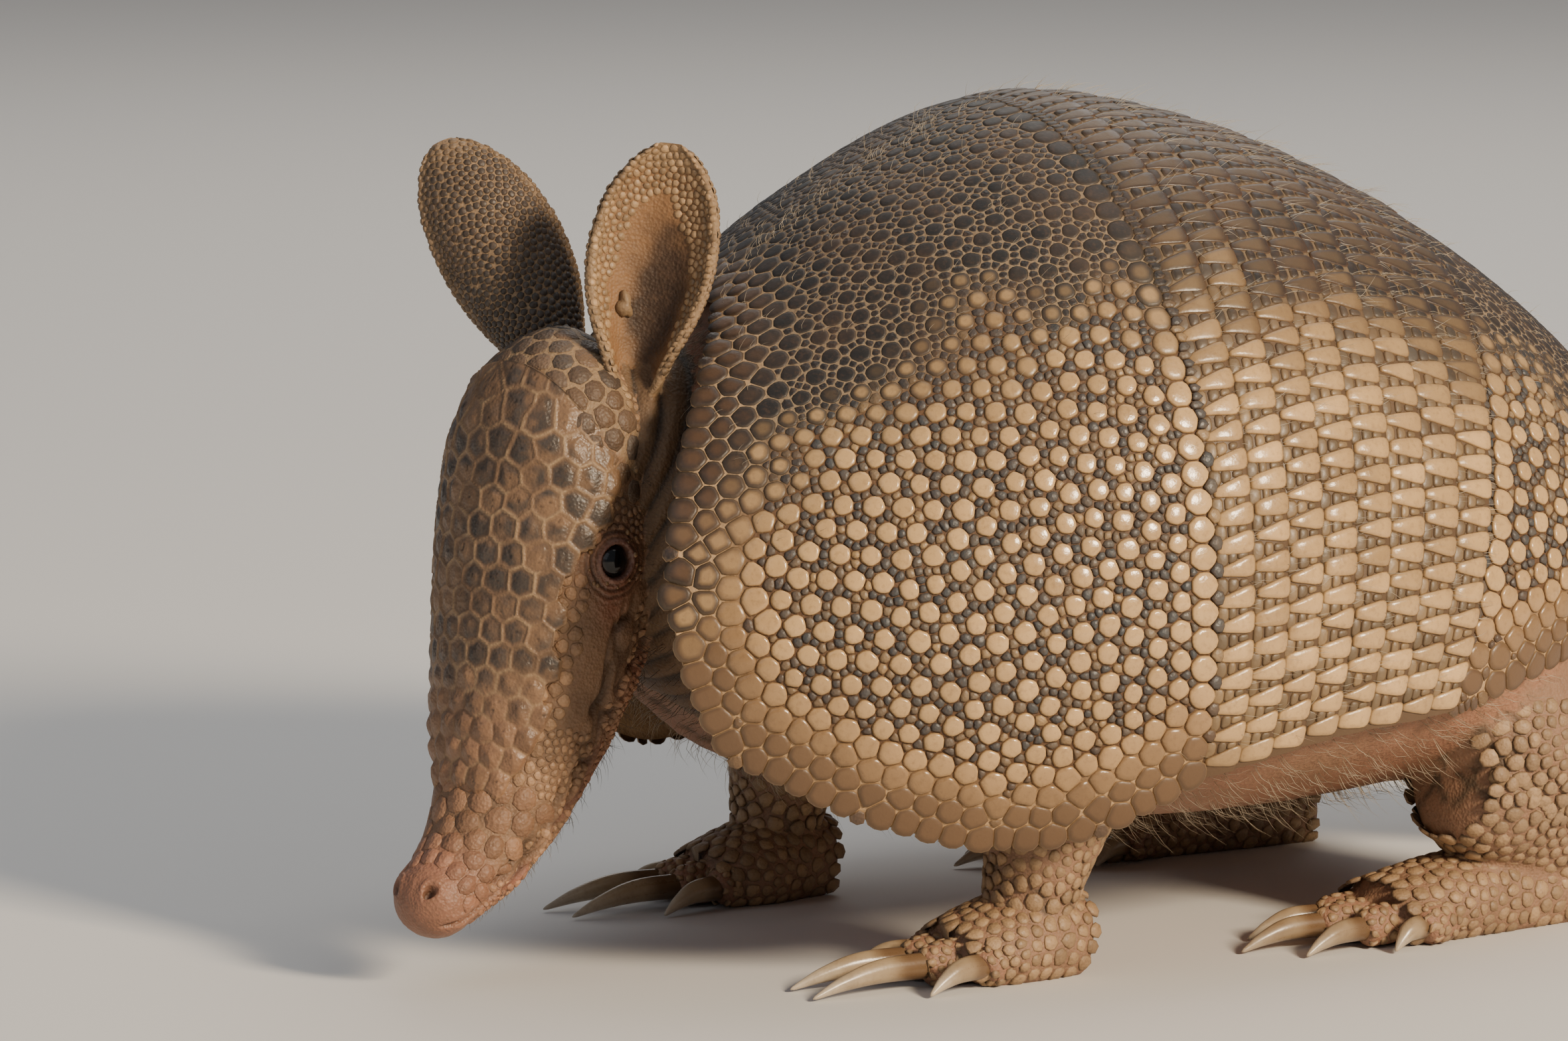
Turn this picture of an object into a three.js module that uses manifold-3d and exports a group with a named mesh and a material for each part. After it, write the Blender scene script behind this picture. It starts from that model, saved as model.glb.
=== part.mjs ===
// A nine-banded armadillo standing hunched, its head hung low and turned a little to its left.
// Millimetres, +Z up. The animal faces -Y and its left side is +X. The feet stand on Z = 0 and the
// origin lies under the middle of the whole animal, from nose to tail tip.
//
// The shell is one surface, shellPoint(s, t): s runs rearward along the back from the rear edge of
// the shoulder shield, and t runs down either flank from the dorsal line, in degrees. The trunk, the
// two shields and the eight bands are all laid on it, so they nest without touching.

import * as THREE from 'three';
import { mergeVertices } from 'three/addons/utils/BufferGeometryUtils.js';
import Module from 'manifold-3d';

const wasm = await Module();
wasm.setup();

// ---------------------------------------------------------------- driving dimensions

const GAP = 0.3;                 // between neighbouring pieces
const CENTRE = [0, 136.8];       // the middle of the whole animal, measured from the shell's zero

// The shell's rings: where each one's widest level lies, how far it leans back, and its size.
const RING = {
  s: [-100, -75, -50, -25, 0, 30, 61, 80, 100, 120, 140, 152],
  y: [-98.5, -74.3, -49.9, -25, 0, 30, 60.5, 76, 91, 104, 114, 118],
  z: [54, 59.8, 63.7, 65.6, 66, 63.5, 57.5, 56, 55, 53, 51, 50],
  lean: [-16, -11.5, -7, -2.5, 2, 7.5, 16, 28, 42, 57, 72, 80],
  halfWidth: [46, 61, 73, 81.5, 86, 84.5, 80, 77, 71, 61, 46, 36],
  rise: [50, 57, 66.5, 83, 96, 94.5, 85.5, 75, 63, 53, 47, 45],
};
const TUCK = 0.09;               // the flanks draw in by this share, TUCK_DROP below the widest level
const TUCK_DROP = 35;
const TURN = 6;                  // the shoulders turn this far to the animal's right, in degrees
const TURN_LENGTH = 95;

const SHELL_THICK = 2.6;
// The front margin, notched round the neck: it runs forward from `s` on the back by `reach`, which
// it has at `peak` degrees down the flank, and `round` softens its middle.
const SHIELD_FRONT = { s: -42, reach: -44.6, peak: 82, round: 12 };
const SHIELD_EDGE = {                        // lower margin of the shoulder shield, front to rear
  v: [0, 0.12, 0.35, 0.6, 0.85, 1],
  t: [101, 111, 118, 116, 110, 105],
};
const BANDS = 8;
const BANDS_LENGTH = 61;
const BAND_LIP = 0.5;                        // each band's rear edge stands over the next one
const BAND_EDGE = [105, 96];                 // lower ends of the first and of the last band
const PELVIC_END = 151;
const PELVIC_EDGE = {
  s: [61, 75, 90, 105, 120, 136, 151],
  t: [96, 94, 91, 86, 77, 62, 38],
};

const TRUNK_SPAN = [-74, 147];
const TRUNK_CLEARANCE = 1;                   // between the facets of the trunk and of the shell
const TRUNK_BACK = 0.32;                     // the share of a whole ring that follows the shell
const TRUNK_CORE = 4;                        // its ends close this far over the widest level
const TRUNK_EDGE = {                         // how far round it follows, against the shell's edge
  inside: 6, chest: 97, chestLength: 40, rump: 8,
};
const BELLY = {                              // the belly line under each ring
  s: [-74, -55, -30, 0, 40, 80, 110, 130, 147],
  y: [-68, -52, -28, 0, 38, 68, 92, 114, 134],
  z: [50, 36, 27, 23, 21, 22, 24, 25, 26],
};

const HEAD_ROOT = [-3, -91.5, 110.5];
const HEAD_TURN = 18;                        // towards the animal's left, in degrees
const HEAD = {
  span: [-12.5, 108],
  h: [-15, 0, 16, 32, 48, 64, 76, 87, 98, 109],
  forward: [-3.5, 0, 1.2, 3.3, 6.3, 10.6, 15, 21.8, 31, 41],
  drop: [-14.5, 0, 15.9, 31.8, 47.5, 62.9, 74, 84, 91.5, 97],
  halfWidth: [14, 19, 21.2, 21.4, 19.8, 17, 14.2, 11.3, 8.9, 7.7],
  front: [10, 15.5, 17.6, 18, 17, 15, 12.8, 10.4, 8.4, 7.4],
  back: [14, 24, 26, 25, 21.8, 17, 13.2, 10, 8, 6.8],
};
const HEAD_SHIELD = {                        // reach: degrees to each side of the forehead's middle
  span: [-4, 83],
  v: [0, 0.18, 0.36, 0.7, 1],
  reach: [84, 74, 58, 58, 42],
  arch: 15,                                  // its top edge drops this far towards the sides
  thick: 1.5,
};
const HEAD_CLEARANCE = 1;                    // between the facets of the head and of its shield
// The mouth line: its level is a share of the head's depth, reached over the first part of it.
const MOUTH = { start: 58, level: -0.34, ease: 1 / 6 };
const JAW_CUT = { end: 112, halfWidth: 40, depth: 60 };   // a block that holds the whole jaw
const EYE = { h: 30.5, angle: 80, radius: 3.3, sink: 2 };

const EAR_ROOT = { h: -5, front: -7, buried: 3 };
const EAR = {                                // down the ear: its width and how far it rolls round
  p: [0, 0.15, 0.4, 0.65, 0.85, 0.95, 1],
  width: [0.36, 0.56, 0.95, 1, 0.76, 0.46, 0.2],
  roll: [125, 108, 72, 52, 42, 36, 30],
};
const EAR_POSE = {
  left: { out: 14, length: 47.5, axis: [0.04, 0.1, 1], faces: 54, tip: -1.5 },
  right: { out: 6.5, length: 53.5, axis: [-0.52, -0.17, 0.86], faces: -114, tip: -3 },
};
const EAR_HALF_WIDTH = 12.2;
const EAR_THICK = 1.7;
const EAR_HOLLOW = 0.75;                     // the share of its bow that the axis stands clear of

const TAIL = {
  p: [0, 27, 58, 100, 156, 220, 292],
  x: [0, 0, -1, -4, -10, -19, -33],
  y: [127, 149, 176, 216, 271, 334, 404],
  z: [52, 37, 21.5, 10.9, 6.4, 3.8, 1.4],
  radius: [24, 21.5, 17, 12.4, 7.8, 4.6, 1.6],
};
const TAIL_LENGTHS = 5;
const TAIL_STEP = 2;                         // over which its direction is measured
const TAIL_SPREAD = (share) => share ** 1.1;  // shorter lengths near the root

const NECK = {
  x: [-1, -2.5, -3, -3, -3],
  y: [-36, -54, -68, -80, -92],
  z: [76, 83, 90, 97, 101],
  across: [44, 38, 30, 22, 18],
  through: [40, 36, 31, 25, 19],
};

const LIMB_ENDS = [0.12, 0.12];              // shares of a limb's length that round off its ends
const CLAW_ENDS = [0.1, 0.05];

const LEGS = {
  fore: {
    leg: {
      x: [44, 48, 49, 48.5, 48],
      y: [-2, -8, -14, -17, -18],
      z: [64, 46, 30, 18, 9],
      across: [16, 14.5, 11.5, 9.5, 8.5],
      through: [19, 16, 12, 9.5, 8.5],
    },
    foot: {
      x: [48, 48, 47.5, 47.5],
      y: [-6, -16, -26, -36],
      z: [5.6, 6.8, 5.8, 4.2],
      across: [8, 10.5, 12.5, 11],
      through: [9, 10.5, 8.8, 6.6],
    },
    toes: [
      { x: 40, y: -31, length: 6, claw: 14, splay: -14 },
      { x: 45, y: -34, length: 9, claw: 24, splay: -4 },
      { x: 50.5, y: -34, length: 9, claw: 25, splay: 4 },
      { x: 56, y: -29, length: 5, claw: 14, splay: 16 },
    ],
    toeSize: [3.4, 4.2],
    toeHeight: 4.4,
  },
  hind: {
    thigh: {
      x: [38, 45, 53, 56],
      y: [116, 102, 84, 72],
      z: [50, 44, 36, 31],
      across: [20, 22, 19, 12],
      through: [26, 27, 23, 14],
    },
    leg: {
      x: [56, 54.5, 52, 50.5],
      y: [72, 84, 97, 107],
      z: [34, 30, 20, 11],
      across: [13, 15, 11.5, 9],
      through: [14, 17, 13, 10],
    },
    foot: {
      x: [50, 50.5, 52, 53],
      y: [111, 94, 74, 56],
      z: [6, 6.6, 6, 4.4],
      across: [8, 9.5, 11.5, 12.5],
      through: [9, 10, 9, 7],
    },
    toes: [
      { x: 43, y: 65, length: 5, claw: 9, splay: -18 },
      { x: 46.5, y: 58, length: 8, claw: 15, splay: -9 },
      { x: 52.5, y: 55, length: 10, claw: 18, splay: 2 },
      { x: 58.5, y: 58, length: 8, claw: 15, splay: 12 },
      { x: 62.5, y: 66, length: 5, claw: 9, splay: 22 },
    ],
    toeSize: [3.3, 4],
    toeHeight: 4.2,
  },
};

const TOE = { inFoot: 6, inToe: 4, narrow: 0.8 };
// A claw against its toe, at its root and half-way, and the half-thickness of its point.
const CLAW_SHAPE = { height: [0.95, 0.85], wide: [0.62, 0.48], deep: [0.66, 0.5], point: 0.5 };

// ---------------------------------------------------------------- colours

const finish = (color, roughness) => new THREE.MeshStandardMaterial({ color, roughness, metalness: 0 });
const SCUTES = finish(0xa8957a, 0.45);
const HEAD_SCUTES = finish(0x6b5a48, 0.5);
const SKIN = finish(0x8d7462, 0.6);
const CLAW = finish(0xb9a68a, 0.35);
const EYE_BLACK = finish(0x0b0908, 0.05);

// ---------------------------------------------------------------- numbers and curves

const rad = THREE.MathUtils.degToRad;
const mix = THREE.MathUtils.lerp;
const clamp = THREE.MathUtils.clamp;

// A smooth curve through the points (xs, ys), flat beyond the ends.
function curve(xs, ys, x) {
  const slope = (i) => (ys[i + 1] - ys[i]) / (xs[i + 1] - xs[i]);
  const tangent = (i) => {
    if (i === 0) return slope(0);
    if (i === xs.length - 1) return slope(i - 1);
    const before = xs[i] - xs[i - 1];
    const after = xs[i + 1] - xs[i];
    return (slope(i - 1) * after + slope(i) * before) / (before + after);
  };
  let i = 0;
  while (i < xs.length - 2 && x > xs[i + 1]) i += 1;
  const span = xs[i + 1] - xs[i];
  const t = clamp((x - xs[i]) / span, 0, 1);
  const start = (1 + 2 * t) * (1 - t) ** 2 * ys[i] + t * (1 - t) ** 2 * span * tangent(i);
  return start + t * t * (3 - 2 * t) * ys[i + 1] + t * t * (t - 1) * span * tangent(i + 1);
}

// A radius factor that rounds a loft's two ends, over the given shares of its length.
function roundEnds(f, first, last) {
  const near = clamp(f / first, 0, 1);
  const far = clamp((1 - f) / last, 0, 1);
  return Math.sqrt(1 - (1 - near) ** 2) * Math.sqrt(1 - (1 - far) ** 2);
}

// Shares of a loft's length that crowd a little towards its ends, where it rounds off.
const slowEnds = (f) => mix(f, 0.5 - 0.5 * Math.cos(Math.PI * f), 0.6);

// ---------------------------------------------------------------- making and cutting solids

// Moves every vertex of a closed geometry, leaving one shared vertex at each place.
function bend(geometry, place) {
  geometry.deleteAttribute('normal');
  geometry.deleteAttribute('uv');
  const at = geometry.attributes.position;
  const from = new THREE.Vector3();
  for (let i = 0; i < at.count; i += 1) {
    from.fromBufferAttribute(at, i);
    at.setXYZ(i, ...place(from.x, from.y, from.z));
  }
  return mergeVertices(geometry, 1e-3);
}

// A closed loft: section(f, angle) gives a point at the share f of the length, at an angle in
// radians round the section. The ends close to points.
function loft(steps, around, section) {
  const ball = new THREE.SphereGeometry(1, around, steps);
  return bend(ball, (x, y, z) => section(Math.acos(clamp(-y, -1, 1)) / Math.PI, Math.atan2(z, x)));
}

// A bent plate: surface(a, v, outside) with a from -1 to 1 across and v from 0 to 1 along.
function plate(across, along, surface) {
  const box = new THREE.BoxGeometry(2, 1, 1, across, along, 1);
  return bend(box, (x, y, z) => surface(x, y + 0.5, z > 0));
}

function toSolid(geometry) {
  const mesh = new wasm.Mesh({
    numProp: 3,
    vertProperties: new Float32Array(geometry.attributes.position.array),
    triVerts: new Uint32Array(geometry.index.array),
  });
  let solid = new wasm.Manifold(mesh);
  if (solid.volume() < 0) {
    const turned = mesh.triVerts.slice();
    for (let i = 0; i < turned.length; i += 3) [turned[i], turned[i + 1]] = [turned[i + 1], turned[i]];
    solid = new wasm.Manifold(new wasm.Mesh({
      numProp: 3, vertProperties: mesh.vertProperties, triVerts: turned,
    }));
  }
  return solid;
}

function toGeometry(solid) {
  const mesh = solid.getMesh();
  const geometry = new THREE.BufferGeometry();
  geometry.setAttribute('position', new THREE.BufferAttribute(mesh.vertProperties, 3));
  geometry.setIndex(new THREE.BufferAttribute(mesh.triVerts, 1));
  geometry.computeVertexNormals();
  return geometry;
}

// What is left of a solid after its neighbours are cut away: its largest piece.
function without(solid, ...neighbours) {
  const cut = neighbours.reduce((left, other) => left.subtract(other), solid);
  const pieces = cut.decompose().sort((a, b) => b.volume() - a.volume());
  return pieces[0];
}

const animal = new THREE.Group();
animal.position.set(-CENTRE[0], -CENTRE[1], 0);

function addNode(name, solid, material) {
  const mesh = new THREE.Mesh(toGeometry(solid), material);
  mesh.name = name;
  animal.add(mesh);
}

// ---------------------------------------------------------------- the shell

function shellTurn(s) {
  const share = clamp(-s / TURN_LENGTH, 0, 1);
  return rad(TURN) * share * share * (3 - 2 * share);
}

// The sideways drift of the shell's middle that goes with its turn.
function shellDrift(s) {
  const share = clamp(-s / TURN_LENGTH, 0, 1);
  const beyond = Math.min(s + TURN_LENGTH, 0);
  return (-TURN_LENGTH * (share ** 3 - share ** 4 / 2) + beyond) * Math.tan(rad(TURN));
}

// The point of a ring at lateral distance `side` and height `up` in its own leaning plane.
function ringPoint(s, side, up) {
  const lean = rad(curve(RING.s, RING.lean, s));
  const turn = shellTurn(s);
  const back = up * Math.sin(lean);
  return [
    shellDrift(s) + side * Math.cos(turn) + back * Math.sin(turn),
    curve(RING.s, RING.y, s) + back * Math.cos(turn) - side * Math.sin(turn),
    curve(RING.s, RING.z, s) + up * Math.cos(lean),
  ];
}

function shellPoint(s, t, grow) {
  const width = curve(RING.s, RING.halfWidth, s) + grow;
  const rise = curve(RING.s, RING.rise, s);
  const angle = rad(Math.abs(t));
  const over = angle - Math.PI / 2;
  const side = Math.sign(t) * width;
  if (over <= 0) return ringPoint(s, side * Math.sin(angle), (rise + grow) * Math.cos(angle));
  const drop = rise * over;
  return ringPoint(s, side * (1 - TUCK * (drop / TUCK_DROP) ** 2), -drop);
}

// Where the shoulder shield's front margin lies, notched round the neck.
function shieldFront(t) {
  const { s, reach, peak, round } = SHIELD_FRONT;
  return s + reach * Math.sin(Math.PI / 2 * Math.hypot(t, round) / peak);
}

function shoulderShield(grow) {
  return toSolid(plate(20, 7, (a, v, outside) => {
    const t = a * curve(SHIELD_EDGE.v, SHIELD_EDGE.t, v);
    const s = mix(shieldFront(t), -GAP / 2, v);
    return shellPoint(s + (v === 0 ? -grow : 0), t, outside ? grow : -SHELL_THICK - grow);
  }));
}

function band(index) {
  const start = BANDS_LENGTH * index / BANDS + GAP / 2;
  const end = BANDS_LENGTH * (index + 1) / BANDS - GAP / 2;
  return toSolid(plate(18, 1, (a, v, outside) => {
    const s = mix(start, end, v);
    const edge = mix(...BAND_EDGE, s / BANDS_LENGTH);
    return shellPoint(s, a * edge, outside ? BAND_LIP * (v - 0.5) : -SHELL_THICK);
  }));
}

function pelvicShield(grow) {
  return toSolid(plate(18, 8, (a, v, outside) => {
    const s = mix(BANDS_LENGTH + GAP / 2, PELVIC_END, v);
    const t = a * (curve(PELVIC_EDGE.s, PELVIC_EDGE.t, s) + grow);
    return shellPoint(s + (v === 1 ? grow : 0), t, outside ? grow : -SHELL_THICK - grow);
  }));
}

// ---------------------------------------------------------------- the trunk

// How far down the trunk follows the shell before it rounds into the belly.
function trunkEdge(s) {
  const { inside, chest, chestLength, rump } = TRUNK_EDGE;
  if (s < 0) return mix(BAND_EDGE[0], chest, clamp(-s / chestLength, 0, 1)) - inside;
  if (s < BANDS_LENGTH) return mix(...BAND_EDGE, s / BANDS_LENGTH) - inside;
  return Math.min(BAND_EDGE[1] - inside, curve(PELVIC_EDGE.s, PELVIC_EDGE.t, s) + rump);
}

function trunkPoint(s, share, grow) {
  // share: 0 on the back, 0.5 on the belly line, negative on the right side.
  const side = Math.sign(share) || 1;
  const edge = trunkEdge(s);
  const inset = grow - SHELL_THICK - TRUNK_CLEARANCE;
  const turned = Math.abs(share) / TRUNK_BACK;
  if (turned <= 1) return shellPoint(s, side * edge * turned, inset);
  const rim = shellPoint(s, side * edge, inset);
  const middle = ringPoint(s, 0, 0)[0];
  const belly = [middle, curve(BELLY.s, BELLY.y, s), curve(BELLY.s, BELLY.z, s) - grow];
  const angle = Math.PI / 2 * (Math.abs(share) - TRUNK_BACK) / (0.5 - TRUNK_BACK);
  const out = Math.cos(angle);
  const up = 1 - Math.sin(angle);
  return [mix(belly[0], rim[0], out), mix(belly[1], rim[1], up), mix(belly[2], rim[2], up)];
}

function trunk(grow) {
  const [first, last] = TRUNK_SPAN;
  return toSolid(loft(16, 20, (f, angle) => {
    const s = mix(first - grow, last + grow, f);
    const at = trunkPoint(s, angle / (2 * Math.PI), grow);
    const core = ringPoint(s, 0, TRUNK_CORE);
    const size = roundEnds(f, 0.1, 0.07);
    return at.map((value, i) => mix(core[i], value, size));
  }));
}

// ---------------------------------------------------------------- the head

const headAhead = [Math.sin(rad(HEAD_TURN)), -Math.cos(rad(HEAD_TURN))];
const headLeft = [Math.cos(rad(HEAD_TURN)), Math.sin(rad(HEAD_TURN))];

// A point of the head: h along it from the nape to the nose, then how far to its left and how far
// towards its forehead.
function headPoint(h, left, front) {
  const step = 0.5;
  const dAhead = curve(HEAD.h, HEAD.forward, h + step) - curve(HEAD.h, HEAD.forward, h - step);
  const dDrop = curve(HEAD.h, HEAD.drop, h + step) - curve(HEAD.h, HEAD.drop, h - step);
  const length = Math.hypot(dAhead, dDrop) || 1;
  const ahead = curve(HEAD.h, HEAD.forward, h) + front * dDrop / length;
  const rise = -curve(HEAD.h, HEAD.drop, h) + front * dAhead / length;
  return [
    HEAD_ROOT[0] + headAhead[0] * ahead + headLeft[0] * left,
    HEAD_ROOT[1] + headAhead[1] * ahead + headLeft[1] * left,
    HEAD_ROOT[2] + rise,
  ];
}

// The head's surface: angle in degrees from the forehead's middle, positive to the left.
function headSurface(h, angle, grow) {
  const turn = rad(angle);
  const front = Math.cos(turn) > 0 ? HEAD.front : HEAD.back;
  return headPoint(
    h,
    (curve(HEAD.h, HEAD.halfWidth, h) + grow) * Math.sin(turn),
    (curve(HEAD.h, front, h) + grow) * Math.cos(turn),
  );
}

function headLoft(grow) {
  const [first, last] = HEAD.span;
  return toSolid(loft(18, 16, (f, angle) => {
    const share = slowEnds(f);
    const h = mix(first - grow, last + grow, share);
    const size = roundEnds(share, 0.16, 0.05);
    const at = headSurface(h, THREE.MathUtils.radToDeg(angle), grow);
    const core = headPoint(h, 0, 0);
    return at.map((value, i) => mix(core[i], value, size));
  }));
}

function headShield() {
  const [first, last] = HEAD_SHIELD.span;
  return toSolid(plate(8, 9, (a, v, outside) => {
    const h = mix(first, last, v);
    const angle = a * curve(HEAD_SHIELD.v, HEAD_SHIELD.reach, v);
    const grow = HEAD_CLEARANCE + (outside ? HEAD_SHIELD.thick : 0);
    return headSurface(h + HEAD_SHIELD.arch * a * a * (1 - v), angle, grow);
  }));
}

// The lower jaw is the part of the head under a slanted mouth line.
function jawRegion(grow) {
  return toSolid(plate(1, 5, (a, v, outside) => {
    const h = mix(MOUTH.start - grow, JAW_CUT.end, v);
    const opening = MOUTH.level * curve(HEAD.h, HEAD.back, h) * clamp(v / MOUTH.ease, 0, 1);
    const line = v === 0 ? -JAW_CUT.halfWidth : opening;
    return headPoint(h, JAW_CUT.halfWidth * a, outside ? line + grow : -JAW_CUT.depth);
  }));
}

function eyeBall(side, grow) {
  const centre = headSurface(EYE.h, side * EYE.angle, -EYE.sink);
  const size = EYE.radius + grow;
  return toSolid(loft(6, 9, (f, angle) => {
    const ring = size * Math.sin(Math.PI * f);
    return [
      centre[0] + ring * Math.cos(angle),
      centre[1] + ring * Math.sin(angle),
      centre[2] - size * Math.cos(Math.PI * f),
    ];
  }));
}

// ---------------------------------------------------------------- the ears

// One ear: a leaf rolled into a funnel at its base. Its axis leans, and its hollow side faces a
// compass direction given in degrees from straight ahead towards the animal's left.
function ear({ side, out: lateral, length, axis, faces, tip }, grow) {
  const base = new THREE.Vector3(...headPoint(EAR_ROOT.h, side * lateral, EAR_ROOT.front));
  const along = new THREE.Vector3(...axis).normalize();
  const open = new THREE.Vector3(Math.sin(rad(faces)), -Math.cos(rad(faces)), 0);
  open.addScaledVector(along, -open.dot(along)).normalize();
  const across = new THREE.Vector3().crossVectors(open, along);
  return toSolid(plate(7, 8, (a, v, outside) => {
    const roll = rad(curve(EAR.p, EAR.roll, v));
    const width = EAR_HALF_WIDTH * curve(EAR.p, EAR.width, v);
    const bow = width / Math.sin(Math.min(roll, Math.PI / 2));
    const out = bow + (outside ? 0 : -EAR_THICK) + (outside ? grow : -grow);
    const at = base.clone();
    const angle = a * (roll + grow / bow);
    at.addScaledVector(along, length * v - EAR_ROOT.buried + grow * (2 * v - 1));
    at.addScaledVector(across, out * Math.sin(angle) + tip * v * v);
    at.addScaledVector(open, bow * EAR_HOLLOW - out * Math.cos(angle));
    return at.toArray();
  }));
}

// ---------------------------------------------------------------- limbs, feet, claws and tail

// A point round a bent tube. The path holds lists x, y, z with half-sizes across and through.
function tubePoint(path, f, angle, grow) {
  const keys = path.x.map((_, i) => i / (path.x.length - 1));
  const at = (share) => new THREE.Vector3(
    curve(keys, path.x, share), curve(keys, path.y, share), curve(keys, path.z, share));
  const along = at(Math.min(f + 0.02, 1)).sub(at(Math.max(f - 0.02, 0))).normalize();
  const across = new THREE.Vector3(1, 0, 0).addScaledVector(along, -along.x).normalize();
  const through = new THREE.Vector3().crossVectors(along, across);
  const centre = at(f);
  return {
    along,
    centre,
    rim: centre.clone()
      .addScaledVector(across, (curve(keys, path.across, f) + grow) * Math.cos(angle))
      .addScaledVector(through, (curve(keys, path.through, f) + grow) * Math.sin(angle)),
  };
}

// A limb: a tube with rounded ends, flattened where it meets the floor.
function limb(path, steps, around, grow = 0, ends = LIMB_ENDS, floor = 0) {
  return toSolid(loft(steps, around, (f, angle) => {
    const share = slowEnds(f);
    const size = roundEnds(share, ...ends);
    const { centre, rim, along } = tubePoint(path, share, angle, grow);
    const at = centre.lerp(rim, size).addScaledVector(along, Math.sign(f - 0.5) * grow * (1 - size));
    return [at.x, at.y, Math.max(at.z, floor)];
  }));
}

const mirrored = (path, side) => ({ ...path, x: path.x.map((x) => side * x) });

// A row of toes across the front of a foot. Each has its own length and a claw on its tip, and
// starts inside the foot, as its claw starts inside it.
function toes(kind, side) {
  const { inFoot, inToe, narrow } = TOE;
  return kind.toes.map(({ x, y, length, claw, splay }) => {
    const lean = Math.sin(rad(splay));
    const ahead = Math.cos(rad(splay));
    const tip = [x + lean * length, y - ahead * length];
    const clawTip = [tip[0] + lean * claw, tip[1] - ahead * claw];
    const [wide, deep] = kind.toeSize;
    return {
      toe: mirrored({
        x: [x - lean * inFoot, mix(x, tip[0], 0.5), tip[0]],
        y: [y + ahead * inFoot, mix(y, tip[1], 0.5), tip[1]],
        z: [kind.toeHeight, kind.toeHeight, kind.toeHeight * narrow],
        across: [wide, wide, wide * narrow],
        through: [deep, deep, deep * narrow],
      }, side),
      claw: mirrored({
        x: [tip[0] - lean * inToe, mix(tip[0], clawTip[0], 0.5), clawTip[0]],
        y: [tip[1] + ahead * inToe, mix(tip[1], clawTip[1], 0.5), clawTip[1]],
        z: [kind.toeHeight * CLAW_SHAPE.height[0], kind.toeHeight * CLAW_SHAPE.height[1], 1],
        across: [wide * CLAW_SHAPE.wide[0], wide * CLAW_SHAPE.wide[1], CLAW_SHAPE.point],
        through: [deep * CLAW_SHAPE.deep[0], deep * CLAW_SHAPE.deep[1], CLAW_SHAPE.point],
      }, side),
    };
  });
}

// A leg down to the wrist or ankle. The hind one is a thigh and a shank, joined at the knee.
function wholeLeg(kind, side, grow) {
  const shank = limb(mirrored(kind.leg, side), 6, 9, grow);
  return kind.thigh ? shank.add(limb(mirrored(kind.thigh, side), 6, 10, grow)) : shank;
}

function tailLength(index) {
  const start = index / TAIL_LENGTHS;
  const end = (index + 1) / TAIL_LENGTHS;
  const total = TAIL.p[TAIL.p.length - 1];
  const gap = GAP / total;
  const at = (p) => new THREE.Vector3(
    curve(TAIL.p, TAIL.x, p), curve(TAIL.p, TAIL.y, p), curve(TAIL.p, TAIL.z, p));
  const cylinder = new THREE.CylinderGeometry(1, 1, 1, 12, 4);
  return toSolid(bend(cylinder, (x, y, z) => {
    const share = mix(start + (index ? gap / 2 : 0), end - gap / 2, y + 0.5);
    const p = total * TAIL_SPREAD(share);
    const along = at(Math.min(p + TAIL_STEP, total)).sub(at(p - TAIL_STEP)).normalize();
    const across = new THREE.Vector3(1, 0, 0).addScaledVector(along, -along.x).normalize();
    const through = new THREE.Vector3().crossVectors(along, across);
    const radius = curve(TAIL.p, TAIL.radius, p);
    const rim = at(p).addScaledVector(across, x * radius).addScaledVector(through, z * radius);
    return [rim.x, rim.y, Math.max(rim.z, 0)];
  }));
}

// ---------------------------------------------------------------- the whole animal

const grownTrunk = trunk(GAP);
const grownHead = headLoft(GAP);
const shield = shoulderShield(0);
const grownShield = shoulderShield(GAP);
const grownPelvic = pelvicShield(GAP);
const bands = Array.from({ length: BANDS }, (_, index) => band(index));

addNode('trunk', without(trunk(0), grownHead), SKIN);
addNode('shoulder_shield', shield, SCUTES);
bands.forEach((solid, index) => addNode(`band_${index + 1}`, solid, SCUTES));
addNode('pelvic_shield', pelvicShield(0), SCUTES);

const headSides = { left: 1, right: -1 };
const eyes = {};
const grownEars = [];
for (const [name, side] of Object.entries(headSides)) {
  eyes[name] = eyeBall(side, GAP);
  const shape = { side, ...EAR_POSE[name] };
  grownEars.push(ear(shape, GAP));
  addNode(`ear_${name}`, without(ear(shape, 0), grownHead, grownTrunk, grownShield), SKIN);
  addNode(`eye_${name}`, eyeBall(side, 0), EYE_BLACK);
}
addNode('head', without(headLoft(0), jawRegion(GAP / 2), eyes.left, eyes.right), SKIN);
addNode('lower_jaw', headLoft(0).intersect(jawRegion(-GAP / 2)), SKIN);
addNode('head_shield', without(headShield(), eyes.left, eyes.right, ...grownEars), HEAD_SCUTES);
const throat = limb(NECK, 7, 12, 0, [0.1, 0.1]);
addNode('neck', without(throat, grownTrunk, grownShield, grownHead, ...grownEars), SKIN);

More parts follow.
